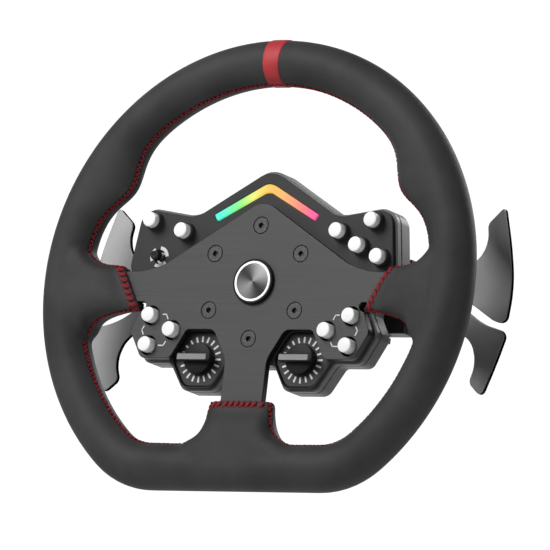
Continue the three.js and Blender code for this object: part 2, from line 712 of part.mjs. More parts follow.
function buildPaddleBox() {
  const tubeBore = drill(TUBE_RADIUS + TUBE_CLEARANCE, COVER_BACK, 0, 0, 24);
  let body = boxLayer(BOX_HALF_WIDTH, BOX_FRONT, CARRIER_BACK);
  for (const side of [-1, 1]) {
    for (const [low, high] of LUGS) {
      const reach = PIVOT_X + LUG_REACH;
      body = body.add(sideBox(side, LUG_INNER, reach, low, high, LUG_FRONT, CARRIER_BACK));
    }
    for (const carrier of CARRIERS) {
      const [low, high] = [carrier.low - POCKET_CLEARANCE, carrier.high + POCKET_CLEARANCE];
      const pocket = [POCKET_INNER, POCKET_OUTER, low, high, POCKET_FRONT, CARRIER_BACK - CUT];
      body = body.subtract(sideBox(side, ...pocket));
      const seat = disc(MAGNET_RADIUS + 0.2, MAGNET_FRONT + 0.2, -39, side * MAGNET_X, carrier.middle);
      body = body.subtract(solid(seat));
    }
    body = body.subtract(solid(upright(PIN_BORE, -30, 30, side * PIVOT_X, PIVOT_DEPTH)));
  }
  add("paddle_box", body.subtract(tubeBore), DARK_METAL());
  const cover = boxLayer(COVER_HALF_WIDTH, CARRIER_BACK, COVER_BACK);
  add("paddle_box_cover", cover.subtract(tubeBore), BLACK_PLASTIC());
}

function blade(corners, side) {
  const points = side > 0 ? corners : flipped(corners);
  const geometry = slab(outline(points), CARRIER_BACK, CARRIER_BACK - BLADE_THICKNESS, 4);
  const position = geometry.getAttribute("position");
  for (let i = 0; i < position.count; i++) {
    const reach = THREE.MathUtils.clamp((Math.abs(position.getX(i)) - BOW_START) / BOW_RUN, 0, 1);
    position.setY(i, position.getY(i) + BLADE_BOW * Math.sin(Math.PI * reach * BOW_SHARE));
  }
  return geometry;
}

const SHIFT_BLADE = [
  [68, 19], [100, 19, 8], [121.4, 24, 6], [128, 36, 6], [126, 47.6, 2.5], [137.4, 58.4, 3.4],
  [145.6, 30, 12], [149.2, 8, 12], [147.2, -13.6, 5], [138.6, -12.6, 3], [112, 3.6, 8], [68, 6.4],
];
const CLUTCH_BLADE = [
  [68, -6.4], [100, -5.6, 8], [114, -3.4, 6], [129.6, -13.6, 6], [148.6, -19.2, 5], [142.8, -38, 10],
  [134.6, -59.2, 5], [124.4, -50, 3], [128, -38, 6], [123, -24, 7], [112, -18.4, 6], [68, -19],
];

function buildPaddles() {
  for (const side of [-1, 1]) {
    const hand = side < 0 ? "left" : "right";
    for (const { word, low, high, middle } of CARRIERS) {
      const tail = [0, TAIL_END, low - 1, high + 1, TAIL_BACK, CARRIER_BACK - CUT];
      const body = sideBox(side, CARRIER_INNER, CARRIER_OUTER, low, high, CARRIER_FRONT, CARRIER_BACK)
        .subtract(sideBox(side, ...tail))
        .subtract(solid(upright(PIN_BORE, -30, 30, side * PIVOT_X, PIVOT_DEPTH)));
      add(`${word}_carrier_${hand}`, body, DARK_METAL());
      const corners = word === "shift" ? SHIFT_BLADE : CLUTCH_BLADE;
      add(`${word}_blade_${hand}`, blade(corners, side), DARK_METAL());
      const magnet = disc(MAGNET_RADIUS, MAGNET_FRONT, MAGNET_BACK, side * MAGNET_X, middle);
      add(`${word}_magnet_${hand}`, magnet, CHROME());
    }
    const pin = upright(PIN_RADIUS, -PIN_HALF_LENGTH, PIN_HALF_LENGTH, side * PIVOT_X, PIVOT_DEPTH);
    add(`paddle_pin_${hand}`, pin, BARE_METAL());
  }
}

function addTurned(name, profile, material) {
  add(name, turned([...profile, profile[0]], 0, 0, TURNED_SIDES), material);
}

function buildQuickRelease() {
  const shell = [
    [0, SOCKET_FLOOR], [SOCKET_RADIUS, SOCKET_FLOOR], [SOCKET_RADIUS, HUB_BACK],
    [HUB_RADIUS, HUB_BACK], [HUB_RADIUS, -60], [HUB_RADIUS + 3, -60],
    [HUB_RADIUS + 3, COVER_BACK], [0, COVER_BACK],
  ];
  const hub = solid(turned(shell, 0, 0, TURNED_SIDES)).subtract(drill(WIRE_HOLE, -80, 0, -11, 12));
  add("quick_release_hub", hub, BARE_METAL());
  const r = COLLAR_INNER;
  const collar = [
    [r, COLLAR_BACK], [r + 7, COLLAR_BACK], [r + 8, COLLAR_BACK + 1], [r + 8, -80], [r + 6, -77],
    [r + 6, -73], [r + 8, -70], [r + 8, COLLAR_FRONT - 1], [r + 7, COLLAR_FRONT], [r + 3.6, COLLAR_FRONT],
    [r + 3.6, -74], [r, -74],
  ];
  addTurned("release_collar", collar, BLACK_STEEL());
  const stop = [[r, -88.3], [r + 3, -88.3], [r + 3, -86.3], [r, -86.3]];
  addTurned("collar_stop_ring", stop, BARE_METAL());
  const spring = [[r + 0.2, -73.7], [r + 3, -73.7], [r + 3, -60.3], [r + 0.2, -60.3]];
  addTurned("collar_spring", spring, BARE_METAL());
  add("contact_block", box(-7, 7, 6, 14, SOCKET_FLOOR - FIT_GAP, -75), BLACK_PLASTIC());
}

buildRim();
buildSpokePlate();
buildHubScrews();
buildBadge();
buildFrontPanel();
buildRearHousing();
buildDials();
buildButtons();
buildLightBar();
buildBoard();
buildMenuStick();
buildHubFlange();
buildPaddleBox();
buildPaddles();
buildQuickRelease();

export default wheel;
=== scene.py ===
"""The finish of a leather racing wheel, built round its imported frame. Metres in the scene; the bench
drawings are in millimetres with X to the right, Y up and Z towards the driver from the plate's face."""

import math

import bmesh
import bpy
import numpy as np
from mathutils import Matrix, Vector
from mathutils.bvhtree import BVHTree
from mathutils.kdtree import KDTree


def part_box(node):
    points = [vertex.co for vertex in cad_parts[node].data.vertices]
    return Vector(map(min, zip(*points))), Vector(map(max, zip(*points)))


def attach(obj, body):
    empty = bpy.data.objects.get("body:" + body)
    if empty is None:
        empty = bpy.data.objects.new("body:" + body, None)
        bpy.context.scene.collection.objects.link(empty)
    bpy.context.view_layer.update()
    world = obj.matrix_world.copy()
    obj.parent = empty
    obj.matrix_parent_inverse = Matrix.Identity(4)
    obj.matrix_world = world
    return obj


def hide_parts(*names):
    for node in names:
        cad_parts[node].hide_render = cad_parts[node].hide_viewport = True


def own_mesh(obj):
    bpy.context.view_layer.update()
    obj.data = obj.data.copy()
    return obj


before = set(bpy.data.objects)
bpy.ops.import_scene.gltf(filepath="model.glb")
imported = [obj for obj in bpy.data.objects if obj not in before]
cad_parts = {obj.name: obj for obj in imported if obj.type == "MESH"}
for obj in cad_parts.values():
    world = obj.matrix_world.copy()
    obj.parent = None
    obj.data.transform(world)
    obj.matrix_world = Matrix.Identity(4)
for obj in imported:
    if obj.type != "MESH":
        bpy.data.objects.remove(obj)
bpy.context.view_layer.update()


# The studio: a pale floor well below the wheel, a white wall far behind it, and soft boxes.
# The camera looks slightly upwards from the driver's right, through a long lens, rolled a little.

plate_face = Vector((0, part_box("spoke_plate")[0].y, 0))
MM = 0.001
BENCH = Matrix.Translation(plate_face) @ Matrix.Rotation(math.pi / 2, 4, "X") @ Matrix.Scale(MM, 4)

camera_right = Vector((0.8531, 0.5097, 0.1115)).normalized()
camera_back = Vector((0.5218, -0.8341, -0.1787)).normalized()
camera_up = camera_back.cross(camera_right).normalized()
CAMERA_DISTANCE = 6.0
VIEW_WIDTH = 0.3319
SENSOR_WIDTH = 36
aim = plate_face + camera_right * 0.0121 + camera_up * 0.0042
camera_data = bpy.data.cameras.new("studio_camera")
camera_data.sensor_width = SENSOR_WIDTH
camera_data.lens = SENSOR_WIDTH * CAMERA_DISTANCE / VIEW_WIDTH
camera_data.clip_end = 60
camera = bpy.data.objects.new("studio_camera", camera_data)
camera_turn = Matrix((camera_right, camera_up, camera_back)).transposed().to_4x4()
camera.matrix_world = Matrix.Translation(aim + camera_back * CAMERA_DISTANCE) @ camera_turn
bpy.context.scene.collection.objects.link(camera)
bpy.context.scene.camera = camera
bpy.context.scene.view_settings.view_transform = "Standard"


def stage_plane(name, size, matrix, colour, glow):
    """A matt plane of the studio, which shines a little so that it comes out pale and even."""
    bm = bmesh.new()
    bmesh.ops.create_grid(bm, x_segments=1, y_segments=1, size=size)
    bmesh.ops.transform(bm, matrix=matrix, verts=bm.verts)
    mesh = bpy.data.meshes.new(name)
    bm.to_mesh(mesh)
    bm.free()
    paint = bpy.data.materials.new(name)
    paint.use_nodes = True
    shader = paint.node_tree.nodes["Principled BSDF"]
    shader.inputs["Base Color"].default_value = (*colour, 1)
    shader.inputs["Roughness"].default_value = 0.9
    shader.inputs["Emission Color"].default_value = (1, 1, 1, 1)
    shader.inputs["Emission Strength"].default_value = glow
    mesh.materials.append(paint)
    plane = bpy.data.objects.new(name, mesh)
    bpy.context.scene.collection.objects.link(plane)


FLOOR_DROP = 2.6
WALL_DISTANCE = 11
wall_place = Matrix.Translation(aim - camera_back * WALL_DISTANCE) @ camera_turn
stage_plane("studio_floor", 20, Matrix.Translation((0, 0, -FLOOR_DROP)), (0.86, 0.86, 0.85), 0.35)
stage_plane("studio_wall", 7, wall_place, (0, 0, 0), 1.05)


def soft_box(name, place, size, power):
    """A round studio lamp that faces the wheel."""
    light_data = bpy.data.lights.new(name, "AREA")
    light_data.shape = "DISK"
    light_data.size = size
    light_data.energy = power
    light = bpy.data.objects.new(name, light_data)
    direction = Vector(place).normalized()
    light.matrix_world = Matrix.Translation(place) @ direction.to_track_quat("Z", "Y").to_matrix().to_4x4()
    bpy.context.scene.collection.objects.link(light)


soft_box("key_light", (-0.9, -2.4, 1.6), 2, 105)
soft_box("left_light", (-2.6, -1.5, 0.3), 1.4, 12)
soft_box("side_light", (2.6, -0.6, 0.5), 1.2, 10)
soft_box("back_light", (0.5, 2.6, 1.4), 1.6, 40)
world = bpy.data.worlds.new("studio_air")
world.use_nodes = True
world.node_tree.nodes["Background"].inputs["Color"].default_value = (0.94, 0.96, 1, 1)
world.node_tree.nodes["Background"].inputs["Strength"].default_value = 0.16
bpy.context.scene.world = world


# The spoke plate: one sheet of aluminium, cut out with the ring that the rim is moulded on,
# brushed across and anodised dark grey. Its cut edges are left black.

RIM_RADIUS = 136
RIM_FLAT = 114
RIM_CORNER = 45.5
PLATE_BACK = -5
PLATE_EDGE_SOFT = 0.35
SCREW_CIRCLE = 35
SCREW_HOLE = 5.25
BADGE_HOLE = 12
BUTTON_HOLE = 6
LOWER_BUTTONS = [(70.8, -20.9, 4.7), (54.8, -29.9, 5), (70.8, -39.3, 5)]
PLATE_HALF = [
    (0, 50.9, 8), (72.6, 6.3, 13), (130, 6.3, 0), (130, -12.3, 0), (75.5, -12.3, 2.4),
    (75.5, -17, 2), (79.2, -18.4, 0.6), (84.6, -30.5, 3), (75.2, -47.3, 3), (54.6, -47.3, 3),
    (44.4, -29.3, 2), (25.2, -29.3, 3), (14.65, -47.6, 3), (14.65, -110, 0),
]


def both_sides(half):
    """The whole outline from its right half, top to bottom."""
    return half + [(-x, y, cut) for x, y, cut in reversed(half) if x]


def outline(corners, steps=6):
    """A flat face whose corners (x, y, cut) are each rounded off over their cut."""
    bm = bmesh.new()
    verts = [bm.verts.new((x, y, 0)) for x, y, _ in corners]
    bm.faces.new(verts)
    for i, (x, y, cut) in enumerate(corners):
        if not cut:
            continue
        sides = [math.dist((x, y), corners[other][:2]) for other in (i - 1, i + 1 - len(corners))]
        bmesh.ops.bevel(
            bm, geom=[verts[i]], offset=min(cut, 0.48 * min(sides)), affect="VERTICES",
            segments=steps, profile=0.5, material=-1)
    return bm


def joined(*parts):
    """Several bench meshes as one."""
    whole = bmesh.new()
    for part in parts:
        spare = bpy.data.meshes.new("spare")
        part.to_mesh(spare)
        part.free()
        whole.from_mesh(spare)
        bpy.data.meshes.remove(spare)
    return whole


def sheet_with_holes(corners, circles=(), loops=(), steps=6):
    """A flat sheet inside an outline, with round holes (x, y, radius) and shaped ones."""
    bm = joined(*[outline(shape, steps) for shape in (corners, *loops)])
    bmesh.ops.delete(bm, geom=bm.faces[:], context="FACES_ONLY")
    for x, y, radius in circles:
        bmesh.ops.create_circle(
            bm, cap_ends=False, radius=radius, segments=40, matrix=Matrix.Translation((x, y, 0)))
    bmesh.ops.triangle_fill(bm, use_beauty=True, use_dissolve=False, edges=bm.edges[:], normal=(0, 0, 1))
    bmesh.ops.recalc_face_normals(bm, faces=bm.faces[:])
    if sum(face.normal.z for face in bm.faces) < 0:
        bmesh.ops.reverse_faces(bm, faces=bm.faces[:])
    return bm


def rounded_edge(bm, faces, soft):
    """Insets a flat end twice, so that its edge turns over in two facets."""
    for across, along in ((0.25, 0.65), (0.75, 0.35)):
        if soft > 0:
            bmesh.ops.inset_region(
                bm, faces=faces, thickness=soft * across, depth=soft * along,
                use_even_offset=True, use_boundary=True)


def thicken(bm, back, front, soft_front=0.4, soft_back=0.4):
    """Gives a flat sheet its thickness and turns its edges over."""
    rear = bm.faces[:]
    raised = bmesh.ops.extrude_face_region(bm, geom=rear, use_keep_orig=True)["geom"]
    face_side = [item for item in raised if isinstance(item, bmesh.types.BMFace)]
    lifted = [item for item in raised if isinstance(item, bmesh.types.BMVert)]
    bmesh.ops.translate(bm, vec=(0, 0, back + soft_back), verts=bm.verts)
    bmesh.ops.translate(bm, vec=(0, 0, front - soft_front - back - soft_back), verts=lifted)
    bmesh.ops.reverse_faces(bm, faces=rear)
    bmesh.ops.recalc_face_normals(bm, faces=bm.faces[:])
    rounded_edge(bm, face_side, soft_front)
    rounded_edge(bm, rear, soft_back)
    return bm


def finished(name, bm, paint, body, slot, *stands_for, sharp=20, matrix=BENCH):
    """Turns a bench mesh into a piece of the wheel, in its place, riding on its body."""
    bmesh.ops.transform(bm, matrix=matrix, verts=bm.verts)
    mesh = bpy.data.meshes.new(name)
    bm.to_mesh(mesh)
    bm.free()
    for one in paint if isinstance(paint, (list, tuple)) else [paint]:
        mesh.materials.append(one)
    mesh.shade_smooth()
    mesh.set_sharp_from_angle(angle=math.radians(sharp))
    piece = bpy.data.objects.new(name, mesh)
    bpy.context.scene.collection.objects.link(piece)
    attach(piece, body)
    if stands_for:
        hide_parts(*stands_for)
    return piece


def finish_base(name, colour, roughness, metallic=0.0, specular=0.35):
    """A material, its node tree and its shader, with the values that are the same all over."""
    paint = bpy.data.materials.new(name)
    paint.use_nodes = True
    tree = paint.node_tree
    shader = tree.nodes["Principled BSDF"]
    shader.inputs["Base Color"].default_value = (*colour, 1)
    shader.inputs["Roughness"].default_value = roughness
    shader.inputs["Metallic"].default_value = metallic
    shader.inputs["Specular IOR Level"].default_value = specular
    return paint, tree, shader


def grain(tree, stretch, detail=3.0, rough=0.55):
    """A noise pattern on object coordinates; stretch is in cycles a metre along X, Y and Z."""
    place = tree.nodes.new("ShaderNodeTexCoord")
    mapping = tree.nodes.new("ShaderNodeMapping")
    mapping.inputs["Scale"].default_value = stretch
    tree.links.new(place.outputs["Object"], mapping.inputs["Vector"])
    noise = tree.nodes.new("ShaderNodeTexNoise")
    noise.inputs["Scale"].default_value = 1
    noise.inputs["Detail"].default_value = detail
    noise.inputs["Roughness"].default_value = rough
    tree.links.new(mapping.outputs["Vector"], noise.inputs["Vector"])
    return noise.outputs["Fac"]


def spread(tree, value, low, high, out_low, out_high):
    """Maps a pattern's range onto another."""
    scale = tree.nodes.new("ShaderNodeMapRange")
    for socket, number in (("From Min", low), ("From Max", high), ("To Min", out_low), ("To Max", out_high)):
        scale.inputs[socket].default_value = number
    tree.links.new(value, scale.inputs["Value"])
    return scale.outputs["Result"]


def shaded(tree, value, dark, light):
    """A colour between dark and light, by a pattern from 0 to 1."""
    mix = tree.nodes.new("ShaderNodeMix")
    mix.data_type = "RGBA"
    mix.inputs["A"].default_value = (*dark, 1)
    mix.inputs["B"].default_value = (*light, 1)
    tree.links.new(value, mix.inputs["Factor"])
    return mix.outputs["Result"]


def tinted(tree, shader, pattern, dark, light, low=0.3, high=0.7):
    """Gives the finish a colour between dark and light, by a pattern between low and high."""
    tree.links.new(
        shaded(tree, spread(tree, pattern, low, high, 0, 1), dark, light), shader.inputs["Base Color"])


def relief(tree, shader, height, strength, distance):
    """Raises the surface by a pattern; the distance is in metres."""
    bump = tree.nodes.new("ShaderNodeBump")
    bump.inputs["Strength"].default_value = strength
    bump.inputs["Distance"].default_value = distance
    tree.links.new(height, bump.inputs["Height"])
    tree.links.new(bump.outputs["Normal"], shader.inputs["Normal"])


def brushed_finish(name, dark, light, roughness, stretch, metallic=0.75):
    """Anodised aluminium with fine lines brushed one way."""
    paint, tree, shader = finish_base(name, light, roughness, metallic=metallic, specular=0.4)
    lines = grain(tree, stretch, detail=4, rough=0.7)
    tinted(tree, shader, lines, dark, light)
    tree.links.new(
        spread(tree, lines, 0.3, 0.7, roughness - 0.08, roughness + 0.08), shader.inputs["Roughness"])
    relief(tree, shader, lines, 0.25, 0.00005)
    return paint


def plain_plastic(name, colour, roughness, depth=0.00006, cycles=2600, specular=0.35):
    """Moulded plastic with a fine spark-eroded texture and a faint change of tone."""
    paint, tree, shader = finish_base(name, colour, roughness, specular=specular)
    fine = grain(tree, (cycles, cycles, cycles), detail=2)
    broad = grain(tree, (35, 35, 35), detail=3)
    tinted(tree, shader, broad, tuple(channel * 0.82 for channel in colour), colour)
    tree.links.new(
        spread(tree, fine, 0.25, 0.75, roughness - 0.06, roughness + 0.06), shader.inputs["Roughness"])
    relief(tree, shader, fine, 0.35, depth)
    return paint


def grey(level):
    """A 0-255 screen grey as a linear colour."""
    return ((level / 255) ** 2.2,) * 3


plate_brushed = brushed_finish("plate_brushed", grey(52), grey(66), 0.48, (14, 60, 2400), 0.4)
plate_edge = plain_plastic("plate_edge", grey(22), 0.4)


def edges_second(bm, limit=0.9):
    """Gives every face that doesn't look straight forward or back the second material."""
    bm.normal_update()
    for face in bm.faces:
        face.material_index = 0 if abs(face.normal.z) > limit else 1


screw_places = [
    (SCREW_CIRCLE * math.cos(math.radians(turn)), SCREW_CIRCLE * math.sin(math.radians(turn)))
    for turn in (90, 30, -30, -90, -150, 150)
]
plate_holes = [(x, y, SCREW_HOLE) for x, y in screw_places] + [(0, 0, BADGE_HOLE)]
plate_holes += [(side * x, y, BUTTON_HOLE) for x, y, _ in LOWER_BUTTONS for side in (-1, 1)]
plate_sheet = sheet_with_holes(both_sides(PLATE_HALF), plate_holes)
bm = thicken(plate_sheet, PLATE_BACK, 0, PLATE_EDGE_SOFT, PLATE_EDGE_SOFT)
edges_second(bm)
finished("plate", bm, [plate_brushed, plate_edge], "wheel", "brushed_plate", "spoke_plate")


# Six countersunk hub screws of blackened steel, flush with the plate, with hexagon sockets.
# They hold the plate on the hub flange, on the 70 mm circle that racing wheels share.

screw_black, screw_tree, screw_shader = finish_base("screw_black", grey(48), 0.42, 0.6)
screw_wear = grain(screw_tree, (900, 900, 900))
tinted(screw_tree, screw_shader, screw_wear, grey(52), grey(78))
relief(screw_tree, screw_shader, screw_wear, 0.2, 0.00003)


def ring_of(sides, radius, x=0, y=0, turn=0):
    """The corners of a regular outline, with no cut."""
    step = 2 * math.pi / sides
    return [
        (x + radius * math.cos(turn - i * step), y + radius * math.sin(turn - i * step), 0)
        for i in range(sides)
    ]


def turned(profile, x=0, y=0, steps=48):
    """A piece turned on a lathe: its profile is [radius, depth], on the axis through x, y."""
    bm = bmesh.new()
    verts = [bm.verts.new((x + radius, y, depth)) for radius, depth in profile]
    edges = [bm.edges.new(pair) for pair in zip(verts, verts[1:])]
    bmesh.ops.spin(
        bm, geom=verts + edges, cent=(x, y, 0), axis=(0, 0, 1), angle=2 * math.pi,
        steps=steps, use_merge=True)
    bmesh.ops.remove_doubles(bm, verts=bm.verts[:], dist=0.0005)
    bmesh.ops.recalc_face_normals(bm, faces=bm.faces[:])
    return bm


HEAD_RADIUS = 4.95
HEX_RADIUS = 1.75
HEAD_BACK = -2.4
SCREW_END = -12.4
for number, (x, y) in enumerate(screw_places, 1):
    head = thicken(
        sheet_with_holes(ring_of(40, HEAD_RADIUS, x, y), loops=[ring_of(6, HEX_RADIUS, x, y, 0.3)], steps=1),
        HEAD_BACK, -0.06, 0.3, 0)
    well = turned([(0, -2.2), (1.9, -2.2), (2.4, -2.6), (2.4, SCREW_END), (0, SCREW_END)], x, y, 24)
    finished(f"hub_screw_head_{number}", joined(head, well), screw_black, "wheel", "black_screw",
             f"hub_screw_{number}")


# The badge: a black plastic holder pressed into the plate's centre, with a polished ring and a
# disc of aluminium brushed in circles. The ring's near-white is a painted reflection, and the
# disc's broad light and dark lobes are a painted highlight. The disc carries no mark.

badge_black = plain_plastic("badge_black", grey(14), 0.45, depth=0.00001, specular=0.15)
holder = turned(
    [(0, -4.4), (11.7, -4.4), (11.7, 0.2), (13.8, 0.2), (14, 0.5), (14, 1.6), (13.8, 2.1), (13.4, 2.3),
     (12.7, 2.3), (12.5, 2.1), (12.5, 0.9), (0, 0.9)], steps=72)
finished("badge_bezel", holder, badge_black, "wheel", "badge_black", "badge_holder")

# The ring is coloured near-white without metal: a painted reflection of the bright studio in the polished
# ring.
ring_painted_shine, ring_tree, ring_shader = finish_base("ring_painted_shine", grey(252), 0.3, 0.0, 0.6)
ring_haze = grain(ring_tree, (300, 300, 300))
ring_tree.links.new(spread(ring_tree, ring_haze, 0.3, 0.7, 0.24, 0.34), ring_shader.inputs["Roughness"])
disc_turned, disc_tree, disc_shader = finish_base("disc_turned", grey(80), 0.34, 0.45)


def around_axis(tree, rings, sweeps):
    """Two patterns round the wheel's axis: broad light and dark lobes by angle, a painted highlight, and fine
    rings.
    """
    place = tree.nodes.new("ShaderNodeTexCoord")
    split = tree.nodes.new("ShaderNodeSeparateXYZ")
    tree.links.new(place.outputs["Object"], split.inputs["Vector"])
    angle = tree.nodes.new("ShaderNodeMath")
    angle.operation = "ARCTAN2"
    tree.links.new(split.outputs["Z"], angle.inputs[0])
    tree.links.new(split.outputs["X"], angle.inputs[1])
    turns = tree.nodes.new("ShaderNodeMath")
    turns.operation = "MULTIPLY"
    turns.inputs[1].default_value = sweeps
    tree.links.new(angle.outputs["Value"], turns.inputs[0])
    painted_highlight_sweep = tree.nodes.new("ShaderNodeMath")
    painted_highlight_sweep.operation = "SINE"
    tree.links.new(turns.outputs["Value"], painted_highlight_sweep.inputs[0])
    flat = tree.nodes.new("ShaderNodeCombineXYZ")
    tree.links.new(split.outputs["X"], flat.inputs["X"])
    tree.links.new(split.outputs["Z"], flat.inputs["Y"])
    radius = tree.nodes.new("ShaderNodeVectorMath")
    radius.operation = "LENGTH"
    tree.links.new(flat.outputs["Vector"], radius.inputs[0])
    noise = tree.nodes.new("ShaderNodeTexNoise")
    noise.noise_dimensions = "1D"
    noise.inputs["Scale"].default_value = rings
    noise.inputs["Detail"].default_value = 3
    tree.links.new(radius.outputs["Value"], noise.inputs["W"])
    return painted_highlight_sweep.outputs["Value"], noise.outputs["Fac"]


# The disc's colour runs from dark to light in two broad lobes round its axis: a painted highlight of the
# circular brushing.
painted_highlight_sweep, fine_rings = around_axis(disc_tree, 3200, 2)
tinted(disc_tree, disc_shader, painted_highlight_sweep, grey(38), grey(124), -1, 1)
relief(disc_tree, disc_shader, fine_rings, 0.5, 0.00004)
DISC_RADIUS = 11
badge_profile = [
    (DISC_RADIUS, 2.3), (DISC_RADIUS, 2.65), (11.15, 2.8), (12.25, 2.8), (12.4, 2.65), (12.4, 1.2), (0, 1.2),
]
badge = joined(
    turned(badge_profile, steps=72), turned([(0, 2.5), (9.5, 2.45), (DISC_RADIUS, 2.3)], steps=72))
bmesh.ops.remove_doubles(badge, verts=badge.verts[:], dist=0.001)
bmesh.ops.recalc_face_normals(badge, faces=badge.faces[:])
for face in badge.faces:
    face.material_index = 1 if face.calc_center_median().xy.length < DISC_RADIUS - 0.05 else 0
finished("badge_disc", badge, [ring_painted_shine, disc_turned], "wheel", "badge_chrome", "badge_face")


# The rim's cover: black leather wrapped round the foam, cut in panels that meet the sleeves over
# the three spokes. It is glued down and pulled tight, so the seams lie in shallow grooves.

RIM_DEPTH = -3.5
RIM_SECTION = 14.2
THUMB_SWELL = 11
THUMB_ANGLE = 31
THUMB_SPREAD = 9
SLEEVE_DEPTH = -2.8
SIDE_SLANT = 0.547
SIDE_STATIONS = [
    (88.8, -17.8, 9.6, 5.4), (95, -18.2, 9.8, 6.8), (102, -19.2, 10, 10.2), (109, -21.2, 11.8, 12.4),
    (113, -23.4, 13.8, 13), (117.5, -28, 18, 13.4), (119.3, -34, 20.5, 13.6), (129, -42, 30, 13.6),
]
BOTTOM_STATIONS = [
    (73.6, -21.6, 21.6, 5.4), (80, -22.2, 22.2, 7.4), (87, -23, 23, 10.8), (93, -25.6, 25.6, 12.6),
    (97, -30, 30, 13.2), (100.5, -37, 37, 13.5), (112, -50, 50, 13.6),
]
SLEEVE_SQUARENESS = 0.62
COVER_SIDES = 48
COVER_LOOPS = 180
COVER_VOXEL = 1.2
corner_centre_y = RIM_CORNER - RIM_FLAT
corner_centre_x = math.sqrt((RIM_RADIUS - RIM_CORNER) ** 2 - corner_centre_y ** 2)
join_angle = math.atan2(corner_centre_y, corner_centre_x)
arc = (math.pi - 2 * join_angle) * RIM_RADIUS
corner = (math.pi / 2 + join_angle) * RIM_CORNER
flat = 2 * corner_centre_x
rim_length = arc + 2 * corner + flat


def rim_centreline(share):
    """A point of the rim's centreline and its outward direction, by its share of the way round."""
    along = share % 1 * rim_length
    if along < arc:
        turn = join_angle + along / RIM_RADIUS
        out = Vector((math.cos(turn), math.sin(turn), 0))
        return out * RIM_RADIUS, out
    along -= arc
    stretches = ((-1, math.pi - join_angle, corner), (0, 0, flat), (1, 1.5 * math.pi, corner))
    for side, first, length in stretches:
        if along <= length or side == 1:
            if side == 0:
                return Vector((along - corner_centre_x, -RIM_FLAT, 0)), Vector((0, -1, 0))
            turn = first + along / RIM_CORNER
            out = Vector((math.cos(turn), math.sin(turn), 0))
            return Vector((side * corner_centre_x, corner_centre_y, 0)) + out * RIM_CORNER, out
        along -= length


def thumb_swell(point):
    """How far the grip swells inwards for the thumb, at a point of the centreline."""
    angle = math.degrees(math.atan2(point.y, abs(point.x)))
    return THUMB_SWELL * math.exp(-((angle - THUMB_ANGLE) / THUMB_SPREAD) ** 2)


def loop_at(bm, sides, place):
    """A loop of edges whose points come from their angles."""
    made = bmesh.ops.create_circle(bm, cap_ends=False, radius=1, segments=sides)["verts"]
    for vert in made:
        vert.co = place(math.atan2(vert.co.y, vert.co.x))
    return list({edge for vert in made for edge in vert.link_edges})


def rim_loop(bm, share, grow=0.0):
    """The grip's section at a share of the way round, grown a little for what lies over the cover."""
    centre, out = rim_centreline(share)
    swell = thumb_swell(centre)

    def place(turn):
        inward = swell if math.cos(turn) < 0 else 0
        reach = out * math.cos(turn) * (RIM_SECTION + grow + inward)
        return centre + reach + Vector((0, 0, RIM_DEPTH + math.sin(turn) * (RIM_SECTION + grow)))

    return loop_at(bm, COVER_SIDES, place)


def squared(part):
    """A cosine or sine that makes a section squarer than an ellipse."""
    return math.copysign(abs(part) ** SLEEVE_SQUARENESS, part)


def sleeve_loop(bm, station, place_point):
    """A sleeve's section at a station (along, low, high, half its thickness)."""
    along, low, high, thick = station

    def place(turn):
        side = (high + low) / 2 + squared(math.cos(turn)) * (high - low) / 2
        return place_point(along, side, SLEEVE_DEPTH + squared(math.sin(turn)) * thick)

    return loop_at(bm, COVER_SIDES, place)


def side_point(side):
    """Places the points of a side sleeve, whose mouth slants with the plate's arm."""
    start, end = SIDE_STATIONS[0][0], SIDE_STATIONS[-1][0]

    def place(along, y, depth):
        slant = SIDE_SLANT * max(0, 1 - (along - start) / (end - start))
        return Vector((side * (along + slant * y), y, depth))

    return place


def bottom_point(along, x, depth):
    return Vector((x, -along, depth))


def finer(stations, parts=4):
    """Stations between the given ones, on a smooth curve."""
    made = []
    for i in range(len(stations) - 1):
        before, a, b, after = (
            np.array(stations[max(0, min(len(stations) - 1, i + step))]) for step in (-1, 0, 1, 2))
        for j in range(parts):
            t = j / parts
            made.append(tuple(0.5 * (
                2 * a + (b - before) * t + (2 * before - 5 * a + 4 * b - after) * t ** 2
                + (3 * a - before - 3 * b + after) * t ** 3)))
    return made + [stations[-1]]


SLEEVES = ((SIDE_STATIONS, side_point(1)), (SIDE_STATIONS, side_point(-1)), (BOTTOM_STATIONS, bottom_point))
bm = bmesh.new()
for i in range(COVER_LOOPS):
    rim_loop(bm, i / COVER_LOOPS)
bmesh.ops.bridge_loops(bm, edges=bm.edges[:], use_cyclic=True)
for stations, place_point in SLEEVES:
    part = bmesh.new()
    for station in finer(stations):
        sleeve_loop(part, station, place_point)
    bmesh.ops.bridge_loops(part, edges=part.edges[:])
    bmesh.ops.holes_fill(part, edges=part.edges[:], sides=0)
    bmesh.ops.recalc_face_normals(part, faces=part.faces[:])
    bm = joined(bm, part)
bmesh.ops.recalc_face_normals(bm, faces=bm.faces[:])


def one_skin(bm):
    """The grip and its sleeves as one closed skin."""
    spare = bpy.data.meshes.new("spare")
    bm.to_mesh(spare)
    bm.free()
    model = bpy.data.objects.new("spare", spare)
    bpy.context.scene.collection.objects.link(model)
    remesh = model.modifiers.new("remesh", "REMESH")
    remesh.mode = "VOXEL"
    remesh.voxel_size = COVER_VOXEL
    remesh.use_smooth_shade = True
    graph = bpy.context.evaluated_depsgraph_get()
    result = bpy.data.meshes.new_from_object(model.evaluated_get(graph))
    bpy.data.objects.remove(model)
    made = bmesh.new()
    made.from_mesh(result)
    bpy.data.meshes.remove(result)
    bpy.data.meshes.remove(spare)
    return made


bm = one_skin(bm)
SIDE_JUNCTION = 115
SIDE_BLEND = 7
BOTTOM_JUNCTION = 98
BOTTOM_BLEND = 6


